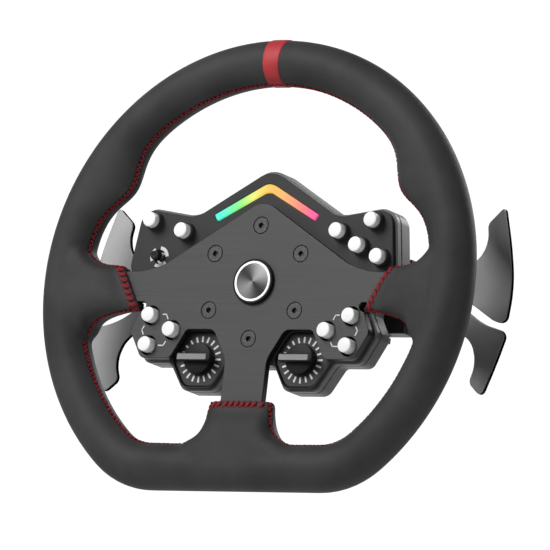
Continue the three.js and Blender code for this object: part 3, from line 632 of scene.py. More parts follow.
def junction_weight(point):
    """1 where a sleeve runs into the rim, 0 elsewhere."""
    across = abs(point.x)
    side = math.exp(-((across - SIDE_JUNCTION) / SIDE_BLEND) ** 2) if -48 < point.y < 34 else 0
    bottom = math.exp(-((point.y + BOTTOM_JUNCTION) / BOTTOM_BLEND) ** 2) if across < 48 else 0
    return min(1, side + bottom)


blended = [vert for vert in bm.verts if junction_weight(vert.co) > 0.35]
for verts, times in ((blended, 14), (bm.verts[:], 4)):
    for _ in range(times):
        bmesh.ops.smooth_vert(
            bm, verts=verts, factor=0.5, use_axis_x=True, use_axis_y=True, use_axis_z=True)

SEAM_DEPTH = 0.2
SEAM_POINTS = 900
SIDE_GAP = (-36.5, 20)
BOTTOM_GAP = 38
MOUTH_SHARE = 0.38
MOUTH_POINTS = 40


def inner_seam():
    """The rim's inner seam, in the runs that the sleeves leave free."""
    runs = [[]]
    for i in range(SEAM_POINTS + 1):
        centre, out = rim_centreline(i % SEAM_POINTS / SEAM_POINTS)
        point = centre - out * (RIM_SECTION + thumb_swell(centre)) + Vector((0, 0, SEAM_DEPTH))
        on_side = abs(centre.x) > 100 and SIDE_GAP[0] < point.y < SIDE_GAP[1]
        on_bottom = point.y < -80 and abs(point.x) < BOTTOM_GAP
        if not (on_side or on_bottom):
            runs[-1].append(point)
        elif runs[-1]:
            runs.append([])
    last = runs.pop()
    if last:
        runs[0] = last[:-1] + runs[0]
    return runs


def mouth_seams(stations, place_point):
    """The heavy rows across a sleeve's mouth, on its front and its back."""
    along, low, high, thick = (
        np.array(stations[0]) * (1 - MOUTH_SHARE) + np.array(stations[1]) * MOUTH_SHARE)
    sides = [low + (high - low) * (0.04 + 0.92 * i / MOUTH_POINTS) for i in range(MOUTH_POINTS + 1)]
    return [[place_point(along, side, SLEEVE_DEPTH + face * thick) for side in sides] for face in (1, -1)]


seam_rows = [(line, False) for line in inner_seam()]
for stations, place_point in SLEEVES:
    for edge in (1, 2):
        edge_line = [place_point(one[0], one[edge], SEAM_DEPTH) for one in finer(stations, 8)[:-8]]
        seam_rows.append((edge_line, False))
    seam_rows += [(line, True) for line in mouth_seams(stations, place_point)]
surface = BVHTree.FromBMesh(bm)
seams = [([surface.find_nearest(point)[:2] for point in line], at_mouth) for line, at_mouth in seam_rows]

GROOVE_DEPTH = 0.75
LIP_HEIGHT = 0.3
LIP_REACH = 2.1
FOLD = 0.9
seam_points = [place for line, _ in seams for place, _ in line]
seam_tree = KDTree(len(seam_points))
for i, place in enumerate(seam_points):
    seam_tree.insert(place, i)
seam_tree.balance()
bm.normal_update()
pulls = []
for vert in bm.verts:
    near = seam_tree.find(vert.co)[2]
    groove = -GROOVE_DEPTH * math.exp(-(near / FOLD) ** 2)
    lips = LIP_HEIGHT * math.exp(-((near - LIP_REACH) / FOLD) ** 2)
    pulls.append(vert.normal * (groove + lips) if near < 6 else Vector())
for vert, pull in zip(bm.verts, pulls):
    vert.co += pull

leather, leather_tree, leather_shader = finish_base("leather_black", grey(62), 0.58, specular=0.16)
hide_place = leather_tree.nodes.new("ShaderNodeTexCoord")
pebbles = leather_tree.nodes.new("ShaderNodeTexVoronoi")
pebbles.feature = "SMOOTH_F1"
pebbles.inputs["Scale"].default_value = 1250
leather_tree.links.new(hide_place.outputs["Object"], pebbles.inputs["Vector"])
hide_fine = grain(leather_tree, (2600, 2600, 2600), detail=3)
hide_broad = grain(leather_tree, (28, 28, 28), detail=4)
hide_height = leather_tree.nodes.new("ShaderNodeMath")
hide_height.operation = "MULTIPLY_ADD"
hide_height.inputs[1].default_value = 0.7
leather_tree.links.new(pebbles.outputs["Distance"], hide_height.inputs[0])
leather_tree.links.new(hide_fine, hide_height.inputs[2])
tinted(leather_tree, leather_shader, hide_broad, grey(46), grey(58))
hide_relief = hide_height.outputs["Value"]
leather_tree.links.new(
    spread(leather_tree, hide_relief, 0.2, 1.1, 0.5, 0.66), leather_shader.inputs["Roughness"])
relief(leather_tree, leather_shader, hide_relief, 0.35, 0.00012)
rim_cover = finished("rim_cover", bm, leather, "wheel", "cover_leather", "leather_cover", sharp=80)


# The stitching: twisted red thread laid over every seam. It is fine along the rim and the sleeves,
# where it slants one way and then the other, and heavy across the sleeves' mouths.

thread, thread_tree, thread_shader = finish_base("thread_red", (0.15, 0.004, 0.009), 0.6, specular=0.25)
thread_map = thread_tree.nodes.new("ShaderNodeUVMap")
thread_map.uv_map = "thread"
twist_relief_and_shade = thread_tree.nodes.new("ShaderNodeTexWave")
twist_relief_and_shade.inputs["Scale"].default_value = 2.2
twist_relief_and_shade.inputs["Distortion"].default_value = 0.6
thread_turn = thread_tree.nodes.new("ShaderNodeMapping")
thread_turn.inputs["Rotation"].default_value = (0, 0, 0.7)
thread_turn.inputs["Scale"].default_value = (2, 4, 1)
thread_tree.links.new(thread_map.outputs["UV"], thread_turn.inputs["Vector"])
thread_tree.links.new(thread_turn.outputs["Vector"], twist_relief_and_shade.inputs["Vector"])
# The twist pattern gives a real bump, and it also darkens the thread's colour in the grooves between the
# plies: that darkening is painted shade.
tinted(thread_tree, thread_shader, twist_relief_and_shade.outputs["Fac"], (0.08, 0.001, 0.003), (0.24, 0.007, 0.014), 0, 1)
relief(thread_tree, thread_shader, twist_relief_and_shade.outputs["Fac"], 0.5, 0.0001)

FINE_PITCH, FINE_SIZE = 1.5, (1.8, 0.72, 0.85)
MOUTH_PITCH, MOUTH_SIZE = 4.2, (3.2, 1.5, 1.0)
STITCH_SLANT = 0.6
stitch_rows = []
for line, at_mouth in seams:
    pitch, size, turnabout = (MOUTH_PITCH, MOUTH_SIZE, 1) if at_mouth else (FINE_PITCH, FINE_SIZE, -1)
    bm = bmesh.new()
    bm.loops.layers.uv.new("thread")
    walked = pitch / 2
    slant = STITCH_SLANT
    for (here, normal), (after, _) in zip(line, line[1:]):
        walked += (after - here).length
        if walked < pitch:
            continue
        walked -= pitch
        slant *= turnabout
        along = (after - here).normalized()
        across = normal.cross(along).normalized()
        lay = (across + along * slant).normalized()
        side = normal.cross(lay).normalized()
        turn = Matrix((lay, side, normal)).transposed().to_4x4()
        bmesh.ops.create_uvsphere(
            bm, u_segments=8, v_segments=6, radius=1, calc_uvs=True,
            matrix=Matrix.Translation(here) @ turn @ Matrix.Diagonal((*size, 1)))
    stitch_rows.append(bm)
finished("seam_stitches", joined(*stitch_rows), thread, "wheel", "cover_leather", sharp=80)


# The marker band: a strip of red leather sewn round the top of the rim, so that the driver sees
# when the wheel is straight. Its edges are rolled under.

band_red, band_tree, band_shader = finish_base("band_red", (0.55, 0.03, 0.04), 0.55, specular=0.3)
band_tone = grain(band_tree, (60, 60, 60))
band_fine = grain(band_tree, (2300, 2300, 2300))
tinted(band_tree, band_shader, band_tone, (0.3, 0.018, 0.024), (0.39, 0.028, 0.034))
relief(band_tree, band_shader, band_fine, 0.4, 0.0001)
top_at = arc / 2
BAND_PROFILE = [
    (-5.7, -0.7), (-5.65, -0.1), (-5.4, 0.2), (-4.9, 0.34), (-2.5, 0.36), (0, 0.37), (2.5, 0.36),
    (4.9, 0.34), (5.4, 0.2), (5.65, -0.1), (5.7, -0.7),
]
bm = bmesh.new()
for offset, height in BAND_PROFILE:
    rim_loop(bm, (top_at + offset) / rim_length, height)
bmesh.ops.bridge_loops(bm, edges=bm.edges[:])
bmesh.ops.recalc_face_normals(bm, faces=bm.faces[:])
finished("red_band", bm, band_red, "wheel", "marker_leather", "marker_band", sharp=60)


# The foam under the leather: grey polyurethane moulded round the plate's ring. It keeps its own
# shape, so only its finish is made here.

def keep_node(paint, *names):
    """Gives a finish to nodes that keep their own shapes."""
    for name in names:
        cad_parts[name].data.materials.clear()
        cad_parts[name].data.materials.append(paint)


keep_node(plain_plastic("foam_grey", grey(60), 0.95, 0.0002, 900), "rim_foam")


# The front panel: a moulded black cover over the button box, just behind the spoke plate. Raised
# collars guard the upper buttons; round the lower ones, thin dead-black rings under the plate's holes
# are painted shade. It is open for the light bar, the two dials, the menu stick and the hub.

PANEL_BACK = -8
FLANGE_RADIUS = 39
CAP_HOLE = 4.85
STICK_HOLE = 4.4
DIAL_X = 36
DIAL_Y = -46.6
POD_BOTTOM = DIAL_Y - 17.8
STICK = (-73, 16.5)
UPPER_BUTTONS = [
    ("upper_left_outer", -78.2, 38.3, 3.6), ("upper_left_inner", -54.8, 31.6, 4.2),
    ("upper_right_outer", 78.2, 38.3, 3.6), ("upper_right_inner", 54.8, 31.6, 4.2),
    ("upper_right_middle", 69.7, 22.8, 4.2), ("upper_right_lower", 85, 15.8, 4),
]
PANEL_HALF = [
    (0, 70.8, 8), (50, 41, 6), (82.5, 46, 4.5), (88.8, 41, 3.6), (93.4, 9, 4), (78, -10, 5),
    (78, -18.5, 1), (84.6, -30.5, 3), (75.2, -47.3, 3), (57.4, -47.3, 2), (46.6, POD_BOTTOM, 3.5),
    (25.6, POD_BOTTOM, 3.5), (16.4, -48.4, 2),
]
LIGHT_HALF = [(0, 62.6, 4), (36.6, 42.6, 0.8), (34.4, 38.9, 0.8), (0, 57.3, 3)]


def moved_in(corners, distance):
    """An outline whose edges are all moved inwards, or outwards for a negative distance."""
    made = []
    for i, (x, y, cut) in enumerate(corners):
        lines = []
        before, after = corners[i - 1], corners[i + 1 - len(corners)]
        for (x1, y1, _), (x2, y2, _) in ((before, corners[i]), (corners[i], after)):
            length = math.dist((x1, y1), (x2, y2))
            normal = ((y2 - y1) / length, (x1 - x2) / length)
            lines.append((*normal, normal[0] * x1 + normal[1] * y1 + distance))
        (a, b, c), (d, e, f) = lines
        spread_out = a * e - b * d
        made.append(((c * e - b * f) / spread_out, (a * f - c * d) / spread_out, cut))
    return made


def hexagon(side, half_height):
    """A dial's outline on the left (-1) or the right (1)."""
    return [(x, y, 3.5) for x, y, _ in ring_of(6, half_height * 2 / math.sqrt(3), side * DIAL_X, DIAL_Y)]


panel_black = plain_plastic("panel_black", grey(50), 0.55, specular=0.2)
panel = both_sides(PANEL_HALF)
panel_holes = [(x, y, CAP_HOLE) for _, x, y, _ in UPPER_BUTTONS]
panel_holes += [(0, 0, FLANGE_RADIUS + 0.5), (*STICK, STICK_HOLE)]
panel_holes += [(side * x, y, CAP_HOLE) for x, y, _ in LOWER_BUTTONS for side in (-1, 1)]
light_slot = moved_in(both_sides(LIGHT_HALF), -0.3)
dial_slots = [hexagon(side, 17.1) for side in (-1, 1)]
panel_sheet = sheet_with_holes(panel, panel_holes, [light_slot, *dial_slots])
bm = thicken(panel_sheet, PANEL_BACK, PLATE_BACK, 0.5, 0.2)
BUTTON_COLLAR = [
    (CAP_HOLE, -5.6), (CAP_HOLE, -0.9), (4.95, -0.55), (5.2, -0.4), (5.5, -0.5), (5.65, -0.9), (5.75, -4.2),
    (6, -4.8), (6.5, -5.02), (6.5, -5.6), (CAP_HOLE, -5.6),
]
bm = joined(bm, *[turned(BUTTON_COLLAR, x, y) for _, x, y, _ in UPPER_BUTTONS])
panel_faces = len(bm.faces)
# Thin dead-black rings laid on the panel round the lower buttons, inside the plate's holes, are painted
# shade: they darken the floors of those hollows, which the plate and caps would shade.
SHADE_RING_DEPTH = PLATE_BACK + 0.04
painted_shade_rings = [
    turned([(CAP_HOLE + 0.01, SHADE_RING_DEPTH), (6.3, SHADE_RING_DEPTH)], side * x, y)
    for x, y, _ in LOWER_BUTTONS for side in (-1, 1)
]
bm = joined(bm, *painted_shade_rings)
for number, face in enumerate(bm.faces):
    face.material_index = 0 if number < panel_faces else 1
painted_shade_black = plain_plastic("painted_shade_black", grey(8), 0.9, specular=0)
finished("button_panel", bm, [panel_black, painted_shade_black], "wheel", "panel_plastic", "front_panel")


# The rear housing: a deep moulded tray behind the panel. It stands a little outside the panel
# all round, and a groove in its side wall marks where its two mouldings meet.

LEDGE = 1.4
GROOVE_LEDGE = 0.7
WALL_INSET = 0.6
FLOOR_FRONT = -22.2
HOUSING_BACK = -24
housing_grey = plain_plastic("housing_grey", grey(92), 0.42, 0.00006, 2000, 0.4)
outer = moved_in(panel, -LEDGE)
hollow = [moved_in(panel, WALL_INSET)]
walls = [
    thicken(sheet_with_holes(outer, loops=hollow), -12.6, PANEL_BACK - 0.05, 0.5, 0.25),
    thicken(sheet_with_holes(moved_in(panel, -GROOVE_LEDGE), loops=hollow), -13.6, -12.5, 0, 0),
    thicken(sheet_with_holes(outer, loops=hollow), FLOOR_FRONT, -13.4, 0.25, 0),
    thicken(sheet_with_holes(outer, [(0, 0, 23)]), HOUSING_BACK, FLOOR_FRONT, 0, 1.2),
]
finished("housing_tray", joined(*walls), housing_grey, "wheel", "housing_plastic", "rear_housing")


# The light bar: a frosted diffuser in a flat V over a row of coloured lights, from green at the
# left through yellow, orange and red to pink at the right.

glow, glow_tree, glow_shader = finish_base("light_bar_glow", (0.05, 0.05, 0.05), 0.4, specular=0.3)
glow_place = glow_tree.nodes.new("ShaderNodeTexCoord")
glow_split = glow_tree.nodes.new("ShaderNodeSeparateXYZ")
glow_tree.links.new(glow_place.outputs["Object"], glow_split.inputs["Vector"])
glow_ramp = glow_tree.nodes.new("ShaderNodeValToRGB")
LIGHT_COLOURS = [
    (0.07, (0.04, 0.95, 0.72)), (0.16, (0.13, 0.95, 0.36)), (0.25, (0.28, 0.95, 0.18)),
    (0.35, (0.8, 0.9, 0.15)), (0.44, (0.95, 0.68, 0.08)), (0.52, (0.95, 0.52, 0.04)),
    (0.62, (0.95, 0.46, 0.08)), (0.73, (0.95, 0.33, 0.14)), (0.83, (0.95, 0.18, 0.14)),
    (0.95, (0.95, 0.06, 0.3)),
]
light_reach = LIGHT_HALF[1][0] * MM
ramp = glow_ramp.color_ramp
while len(ramp.elements) < len(LIGHT_COLOURS):
    ramp.elements.new(0.5)
for element, (at, colour) in zip(ramp.elements, LIGHT_COLOURS):
    element.position = at
    element.color = (*colour, 1)
glow_tree.links.new(
    spread(glow_tree, glow_split.outputs["X"], -light_reach, light_reach, 0, 1), glow_ramp.inputs["Fac"])
glow_tree.links.new(glow_ramp.outputs["Color"], glow_shader.inputs["Emission Color"])
frost = grain(glow_tree, (500, 500, 500))
glow_tree.links.new(spread(glow_tree, frost, 0.3, 0.7, 0.9, 1.0), glow_shader.inputs["Emission Strength"])
bm = thicken(sheet_with_holes(both_sides(LIGHT_HALF)), -7.6, -4.4, 0.6, 0.1)
finished("light_strip", bm, glow, "wheel", "light_diffuser", "light_bar")


# The push buttons: twelve white caps moulded with a soft edge and a slightly domed top. Each
# slides in its own hole over a switch on the circuit board.

cap_white = plain_plastic("cap_white", (0.8, 0.8, 0.79), 0.34, 0.00001, 1500, 0.45)


def button_cap(place, x, y, top):
    """A cap with its flange under the panel; top is the height of its edge."""
    profile = [
        (0, -9.8), (5.3, -9.8), (5.3, -8.5), (4.6, -8.3), (4.6, top - 0.9), (4.52, top - 0.5),
        (4.3, top - 0.2), (3.95, top - 0.04), (3.4, top + 0.03), (2, top + 0.12), (0, top + 0.17),
    ]
    finished(f"cap_{place}", turned(profile, x, y), cap_white, f"button_{place}", "button_white",
             f"button_{place}")


for place, x, y, top in UPPER_BUTTONS:
    button_cap(place, x, y, top)
for place, (x, y, top) in zip(("top", "inner", "bottom"), LOWER_BUTTONS):
    button_cap(f"lower_left_{place}", -x, y, top)
    button_cap(f"lower_right_{place}", x, y, top)


# Printed marks: short white brackets on the plate between the lower buttons, three arcs round the
# menu stick and twenty ticks round each dial. They are thin layers of ink.

ink_white = plain_plastic("ink_white", grey(205), 0.6, 0.00001, 1800)
INK = 0.12
INK_MIDDLE = 0.04
BRACKET_WIDTH = 0.7


def stroke(bm, start, end, width, depth):
    """A straight printed line with its ends overlapping its neighbours a little."""
    start, end = Vector((*start, depth)), Vector((*end, depth))
    along = (end - start).normalized()
    turn = Matrix.Rotation(math.atan2(along.y, along.x), 4, "Z")
    size = Matrix.Diagonal(((end - start).length + width * 0.5, width, INK, 1))
    bmesh.ops.create_cube(bm, size=1, matrix=Matrix.Translation((start + end) / 2) @ turn @ size)


BRACKETS = [
    [(62.4, -20.2), (59.9, -20.2), (58.5, -23)], [(74.9, -27.4), (76.3, -29.8), (75, -32.6)],
    [(63.4, -39.4), (59.9, -39.4), (58.4, -36.9)],
]
bm = bmesh.new()
for bracket in BRACKETS:
    for start, end in zip(bracket, bracket[1:]):
        for side in (-1, 1):
            stroke(bm, (side * start[0], start[1]), (side * end[0], end[1]), BRACKET_WIDTH, INK_MIDDLE)
finished("plate_brackets", bm, ink_white, "wheel", "brushed_plate")

ARC_HALF_SPAN = 0.72
ARC_SECTION = [(4.45, PLATE_BACK), (4.45, PLATE_BACK + 0.1), (6.5, PLATE_BACK + 0.1), (6.5, PLATE_BACK)]
bm = bmesh.new()
for third in range(3):
    start = math.radians(45 + 120 * third) - ARC_HALF_SPAN
    verts = [
        bm.verts.new((STICK[0] + radius * math.cos(start), STICK[1] + radius * math.sin(start), depth))
        for radius, depth in ARC_SECTION
    ]
    edges = [bm.edges.new(pair) for pair in zip(verts, verts[1:])]
    bmesh.ops.spin(
        bm, geom=verts + edges, cent=(*STICK, 0), axis=(0, 0, 1), angle=2 * ARC_HALF_SPAN,
        steps=8, use_merge=False)
bmesh.ops.recalc_face_normals(bm, faces=bm.faces[:])
finished("stick_arcs", bm, ink_white, "wheel", "panel_plastic")


# The dials: two rotary encoders in hexagonal pods. Each has a sunk face with a printed scale and
# a black knob, whose grip bar carries a blank grey label strip.

dial_black = plain_plastic("dial_black", grey(40), 0.55, 0.0001, 1500)
knob_black = plain_plastic("knob_black", grey(20), 0.55, 0.00003, 2200, 0.2)
label_grey = plain_plastic("label_grey", grey(122), 0.5, 0.00001, 1500)
DIAL_FACE = -6.5
TICKS = 20
TICK_ENDS = (10.9, 14)
TICK_WIDTH = 1.15
GRIP_REACH = 12
GRIP_HALF_WIDTH = 2.6
GRIP_FRONT = 2.5


def bar(left, right, half_width, x, left_cut, right_cut):
    """A straight bar's outline across a dial whose axis is at x."""
    low, high = DIAL_Y - half_width, DIAL_Y + half_width
    return [
        (x + left, low, left_cut), (x + left, high, left_cut),
        (x + right, high, right_cut), (x + right, low, right_cut),
    ]


for hand, side in (("left", -1), ("right", 1)):
    x = side * DIAL_X
    face = thicken(sheet_with_holes(hexagon(side, 16.6), [(x, DIAL_Y, 4)]), -9.5, DIAL_FACE, 0.5, 0.2)
    finished(f"dial_plate_{hand}", face, dial_black, "wheel", "dial_plastic", f"dial_face_{hand}")
    ticks = bmesh.new()
    for number in range(TICKS):
        turn = 2 * math.pi * number / TICKS
        ends = [(x + reach * math.cos(turn), DIAL_Y + reach * math.sin(turn)) for reach in TICK_ENDS]
        stroke(ticks, *ends, TICK_WIDTH, DIAL_FACE + INK_MIDDLE)
    finished(f"dial_ticks_{hand}", ticks, ink_white, "wheel", "dial_plastic")
    skirt = turned(
        [(2.3, -5.9), (9.4, -5.9), (9.6, -5.6), (9.6, -2.6), (9.4, -2.1), (8.9, -1.9), (3, -1.5),
         (0, -1.5), (0, -5.9), (2.3, -5.9)], x, DIAL_Y)
    grip_outline = bar(-GRIP_REACH, GRIP_REACH, GRIP_HALF_WIDTH, x, 1.2, 2.5)
    grip = thicken(sheet_with_holes(grip_outline), -3.6, GRIP_FRONT, 0.7, 0.2)
    spigot = turned([(0, -3), (1.8, -3), (1.8, -11.4), (0, -11.4)], x, DIAL_Y, 24)
    finished(f"knob_{hand}_grip", joined(skirt, grip, spigot), knob_black, f"knob_{hand}", "knob_plastic",
             f"dial_knob_{hand}")
    label_outline = bar(-11.4, 9, 1.75, x, 0.5, 0.5)
    label = thicken(sheet_with_holes(label_outline), GRIP_FRONT - 0.1, GRIP_FRONT + 0.12, 0.05, 0)
    finished(f"knob_{hand}_label", label, label_grey, f"knob_{hand}", "knob_plastic")


# The menu stick: a black mushroom cap on a steel shaft. It tilts four ways on a gimbal ring and
# clicks when it is pressed.

cap_profile = [
    (1.5, -3), (2.9, -3), (3.1, -2.85), (3.05, -2.5), (2.5, -1.7), (2.5, -1.2), (2.95, -0.3), (3.05, 0.1),
    (2.9, 0.6), (2.5, 1), (1.9, 1.15), (1.2, 1.05), (0, 1), (0, -1), (1.5, -1), (1.5, -3),
]
finished("stick_button", turned(cap_profile, *STICK), knob_black, "stick_top", "knob_plastic", "stick_cap")


# The nodes inside the box: the circuit board, the two encoders, the stick's base, gimbal and shaft,
# and the hub flange keep their own shapes. Only their finish is made here.

bare_metal = brushed_finish("bare_metal", grey(140), grey(190), 0.34, (900, 900, 900))
board_green, board_tree, board_shader = finish_base("board_green", (0.01, 0.09, 0.045), 0.4)
copper = board_tree.nodes.new("ShaderNodeTexVoronoi")
copper.feature = "DISTANCE_TO_EDGE"
copper.inputs["Scale"].default_value = 260
board_place = board_tree.nodes.new("ShaderNodeTexCoord")
board_tree.links.new(board_place.outputs["Object"], copper.inputs["Vector"])
tinted(board_tree, board_shader, copper.outputs["Distance"],
       (0.03, 0.17, 0.07), (0.008, 0.07, 0.035), 0.02, 0.06)
keep_node(board_green, "circuit_board")
keep_node(bare_metal, "encoder_left", "encoder_right", "stick_gimbal", "stick_shaft", "hub_flange")
keep_node(housing_grey, "stick_base")


# The paddle box: a machined aluminium block behind the button box, with a pocket and three hinge
# lugs on each side, closed by a plastic cover that four screws hold.

box_metal = brushed_finish("box_metal", grey(62), grey(88), 0.45, (1200, 60, 60))


def softened_copy(node, width):
    """A copy of a node's mesh in bench millimetres, merged, with its sharp edges turned over."""
    bm = bmesh.new()
    bm.from_mesh(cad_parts[node].data)
    bmesh.ops.transform(bm, matrix=BENCH.inverted(), verts=bm.verts)
    bmesh.ops.remove_doubles(bm, verts=bm.verts[:], dist=0.001)
    bmesh.ops.dissolve_limit(
        bm, angle_limit=math.radians(1), use_dissolve_boundaries=False, verts=bm.verts[:], edges=bm.edges[:])
    bmesh.ops.recalc_face_normals(bm, faces=bm.faces[:])
    sharp = [edge for edge in bm.edges if edge.is_manifold and edge.calc_face_angle() > math.radians(40)]
    bmesh.ops.bevel(
        bm, geom=sharp, offset=width, affect="EDGES", segments=2, profile=0.5, material=-1,
        clamp_overlap=True)
    return bm


finished("paddle_block", softened_copy("paddle_box", 0.5), box_metal, "wheel", "paddle_metal", "paddle_box")
finished("paddle_cover", softened_copy("paddle_box_cover", 0.6), housing_grey, "wheel", "housing_plastic",
         "paddle_box_cover")


def socket_screw(x, y, seat, radius=3.4, height=2.2):
    """A button-head screw with a hexagon socket, whose head stands on its seat and faces back."""
    head = thicken(
        sheet_with_holes(ring_of(32, radius, x, y), loops=[ring_of(6, radius * 0.42, x, y, 0.2)], steps=1),
        0, height, height * 0.55, 0)
    reach, top = radius * 0.5, height * 0.4
    floor = turned([(0, top), (reach, top), (reach, 0.05), (0, 0.05)], x, y, 16)
    bm = joined(head, floor)
    bmesh.ops.rotate(bm, cent=(x, y, 0), matrix=Matrix.Rotation(math.pi, 3, "X"), verts=bm.verts)
    bmesh.ops.translate(bm, vec=(0, 0, seat), verts=bm.verts)
    return bm


COVER_BACK = -56
COVER_SCREW_X, COVER_SCREW_Y = 48, 21
cover_screws = [
    socket_screw(side * COVER_SCREW_X, row * COVER_SCREW_Y, COVER_BACK, 3, 2)
    for side in (-1, 1) for row in (-1, 1)
]
finished("cover_screws", joined(*cover_screws), screw_black, "wheel", "black_screw")


# The paddles: thin aluminium blades on machined carriers. The shift paddles lie above and the
# clutch paddles below. Each carrier turns on a steel pin and rests against a magnet.

BLADE_FRONT = -53
BLADE_BACK = -56
SHIFT_BLADE = [
    (68, 19, 1), (100, 19, 8), (121.4, 24, 6), (128, 36, 6), (126, 47.6, 2.5), (137.4, 58.4, 3.4),
    (145.6, 30, 12), (149.2, 8, 12), (147.2, -13.6, 5), (138.6, -12.6, 3), (112, 3.6, 8), (68, 6.4, 1),
]
CLUTCH_BLADE = [
    (68, -6.4, 1), (100, -5.6, 8), (114, -3.4, 6), (129.6, -13.6, 6), (148.6, -19.2, 5), (142.8, -38, 10),
    (134.6, -59.2, 5), (124.4, -50, 3), (128, -38, 6), (123, -24, 7), (112, -18.4, 6), (68, -19, 1),
]
BLADE_BOW = 1.8
BOW_START = 92
BOW_RUN = 54
BOW_SHARE = 1.1
SHIFT_MIDDLE = 13
BLADE_SCREWS = (73, 82)
MAGNET_X = 40
HINGE_X, HINGE_DEPTH = 62, -47
blade_metal = plain_plastic("blade_metal", grey(128), 0.38, 0.00002, 2400, 0.5)
blade_metal.node_tree.nodes["Principled BSDF"].inputs["Metallic"].default_value = 0.6
# The blades' side faces get a dead black with no sheen at all: painted shade along their edges.
blade_painted_shade_edge = plain_plastic("blade_painted_shade_edge", grey(10), 0.8, specular=0)
pin_steel = brushed_finish("pin_steel", grey(150), grey(200), 0.25, (1500, 1500, 40))
magnet_nickel = brushed_finish("magnet_nickel", grey(170), grey(210), 0.18, (300, 300, 300))
PADDLES = (("shift", SHIFT_BLADE, SHIFT_MIDDLE), ("clutch", CLUTCH_BLADE, -SHIFT_MIDDLE))
for hand, side in (("left", -1), ("right", 1)):
    for word, corners, middle in PADDLES:
        body = f"{word}_paddle_{hand}"
        shape = corners if side > 0 else [(-x, y, cut) for x, y, cut in reversed(corners)]
        bm = thicken(sheet_with_holes(shape), BLADE_BACK, BLADE_FRONT, 0.45, 0.45)
        for x in range(BOW_START, BOW_START + BOW_RUN + 1, 3):
            bmesh.ops.bisect_plane(
                bm, geom=bm.verts[:] + bm.edges[:] + bm.faces[:],
                plane_co=(side * x, 0, 0), plane_no=(1, 0, 0))
        edges_second(bm, 0.8)
        for vert in bm.verts:
            reach = min(1, max(0, (abs(vert.co.x) - BOW_START) / BOW_RUN))
            vert.co.z -= BLADE_BOW * math.sin(math.pi * reach * BOW_SHARE)
        finished(f"{word}_{hand}_plate", bm, [blade_metal, blade_painted_shade_edge], body, "paddle_metal",
                 f"{word}_blade_{hand}")
        carrier = softened_copy(f"{word}_carrier_{hand}", 0.4)
        finished(f"{word}_{hand}_arm", carrier, box_metal, body, "paddle_metal", f"{word}_carrier_{hand}")
        screws = [socket_screw(side * x, middle, BLADE_BACK) for x in BLADE_SCREWS]
        finished(f"{word}_{hand}_screws", joined(*screws), screw_black, body, "black_screw")
        magnet = turned(
            [(0, -40.6), (2.8, -40.6), (3, -40.4), (3, -35.4), (2.8, -35.2), (0, -35.2)],
            side * MAGNET_X, middle, 32)
        finished(f"{word}_{hand}_magnet", magnet, magnet_nickel, "wheel", "magnet", f"{word}_magnet_{hand}")
    pin = turned(
        [(0, -26.8), (1.4, -26.8), (1.75, -26.5), (1.75, 26.5), (1.4, 26.8), (0, 26.8)], 0, 0, 32)
    bmesh.ops.rotate(pin, cent=(0, 0, 0), matrix=Matrix.Rotation(-math.pi / 2, 3, "X"), verts=pin.verts)
    bmesh.ops.translate(pin, vec=(side * HINGE_X, 0, HINGE_DEPTH), verts=pin.verts)
    finished(f"hinge_pin_{hand}", pin, pin_steel, "wheel", "bare_metal", f"paddle_pin_{hand}")


# The quick release: a turned aluminium hub with a socket for the wheel base's shaft, and a black
# collar with a ribbed grip that slides on it. The hub stands on the paddle box's cover.

HUB_RADIUS = 26
SOCKET_FLOOR = -70
RIBS = 48
RIB_DEPTH = 0.012
hub_metal = brushed_finish("hub_metal", grey(120), grey(165), 0.3, (1200, 60, 1200))
collar_black = brushed_finish("collar_anodised", grey(22), grey(40), 0.34, (300, 1800, 300))
hub_profile = [
    (0, COVER_BACK), (28.4, COVER_BACK), (29, -56.6), (29, -59.4), (28.4, -60), (26.3, -60), (26, -60.3),
    (26, -97.2), (25.4, -98), (20, -98), (19, -97), (19, -70.6), (18.4, SOCKET_FLOOR), (0, SOCKET_FLOOR),
]
finished("release_socket", turned(hub_profile, steps=96), hub_metal, "wheel", "bare_metal",
         "quick_release_hub")
inner = HUB_RADIUS + 0.3
collar_profile = [
    (inner, -85.6), (inner + 0.4, -86), (inner + 7, -86), (inner + 8, -85), (inner + 8, -80.6),
    (inner + 7.8, -80), (inner + 6, -77), (inner + 6, -73), (inner + 7.8, -70), (inner + 8, -69.4),
    (inner + 8, -65), (inner + 7, -64), (inner + 3.6, -64), (inner + 3.6, -74), (inner, -74), (inner, -85.6),
]
bm = turned(collar_profile, steps=192)
for vert in bm.verts:
    if vert.co.xy.length > inner + 5.9 and -80.2 < vert.co.z < -69.9:
        turn = math.atan2(vert.co.y, vert.co.x)
        vert.co.xy *= 1 - RIB_DEPTH * (0.5 + 0.5 * math.cos(RIBS * turn))
finished("release_grip", bm, collar_black, "collar", "collar_black", "release_collar")


# The wave spring that pushes the collar back: one flat steel wire coiled in four waved turns, whose
# crests meet. It is squeezed against the hub's shoulder as the collar is pulled.

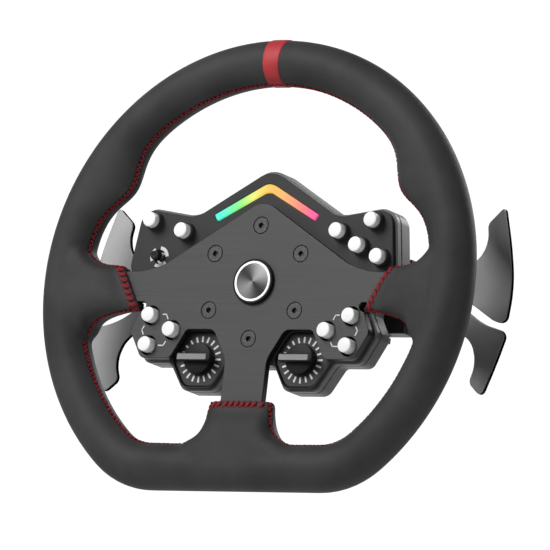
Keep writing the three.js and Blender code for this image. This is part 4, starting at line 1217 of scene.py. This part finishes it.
SPRING_FRONT = -60.35
SPRING_TURNS, TURN_STEPS = 4, 72
WAVES_PER_TURN = 3.5
WIRE_THICK, WAVE_RISE = 0.5, 1.05
TURN_PITCH = 2 * WAVE_RISE + WIRE_THICK
bm = bmesh.new()
wire_top = SPRING_FRONT - WAVE_RISE
wire_edge = [bm.verts.new((inner + reach, 0, wire_top)) for reach in (0.25, 2.9)]
bmesh.ops.spin(
    bm, geom=wire_edge + [bm.edges.new(wire_edge)], cent=(0, 0, 0), axis=(0, 0, 1),
    dvec=(0, 0, -TURN_PITCH / TURN_STEPS), angle=2 * math.pi * SPRING_TURNS,
    steps=SPRING_TURNS * TURN_STEPS, use_merge=False)
for vert in bm.verts:
    turn = (wire_top - vert.co.z) / TURN_PITCH
    vert.co.z += WAVE_RISE * math.sin(WAVES_PER_TURN * 2 * math.pi * turn)
upper = bm.faces[:]
lower = bmesh.ops.extrude_face_region(bm, geom=upper, use_keep_orig=True)["geom"]
bmesh.ops.translate(
    bm, vec=(0, 0, -WIRE_THICK), verts=[item for item in lower if isinstance(item, bmesh.types.BMVert)])
bmesh.ops.recalc_face_normals(bm, faces=bm.faces[:])
spring = finished("wave_spring", bm, bare_metal, "wheel", "bare_metal", "collar_spring")
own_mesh(spring)


# The end of the hub: a steel ring in a groove stops the collar, and a moulded block in the socket's
# floor holds four gilded pins that meet the wheel base's contacts.

stop_profile = [
    (inner, -88.1), (inner + 0.2, -88.3), (inner + 2.8, -88.3), (inner + 3, -88.1), (inner + 3, -86.5),
    (inner + 2.8, -86.3), (inner, -86.3), (inner, -88.1),
]
finished("stop_ring", turned(stop_profile, steps=96), pin_steel, "wheel", "bare_metal", "collar_stop_ring")
contact_black = plain_plastic("contact_black", grey(30), 0.45)
finished("contact_body", softened_copy("contact_block", 0.5), contact_black, "wheel", "contact_plastic",
         "contact_block")
gold = brushed_finish("contact_gold", (0.6, 0.36, 0.1), (0.85, 0.55, 0.18), 0.22, (2000, 2000, 2000))
PIN_PLACES = (-4.8, -1.6, 1.6, 4.8)
PIN_ROW = 10
pins = [
    turned([(0, -77), (0.5, -77), (0.8, -76.7), (0.8, -74.8), (0, -74.8)], x, PIN_ROW, 16) for x in PIN_PLACES
]
finished("contact_pins", joined(*pins), gold, "wheel", "bare_metal")
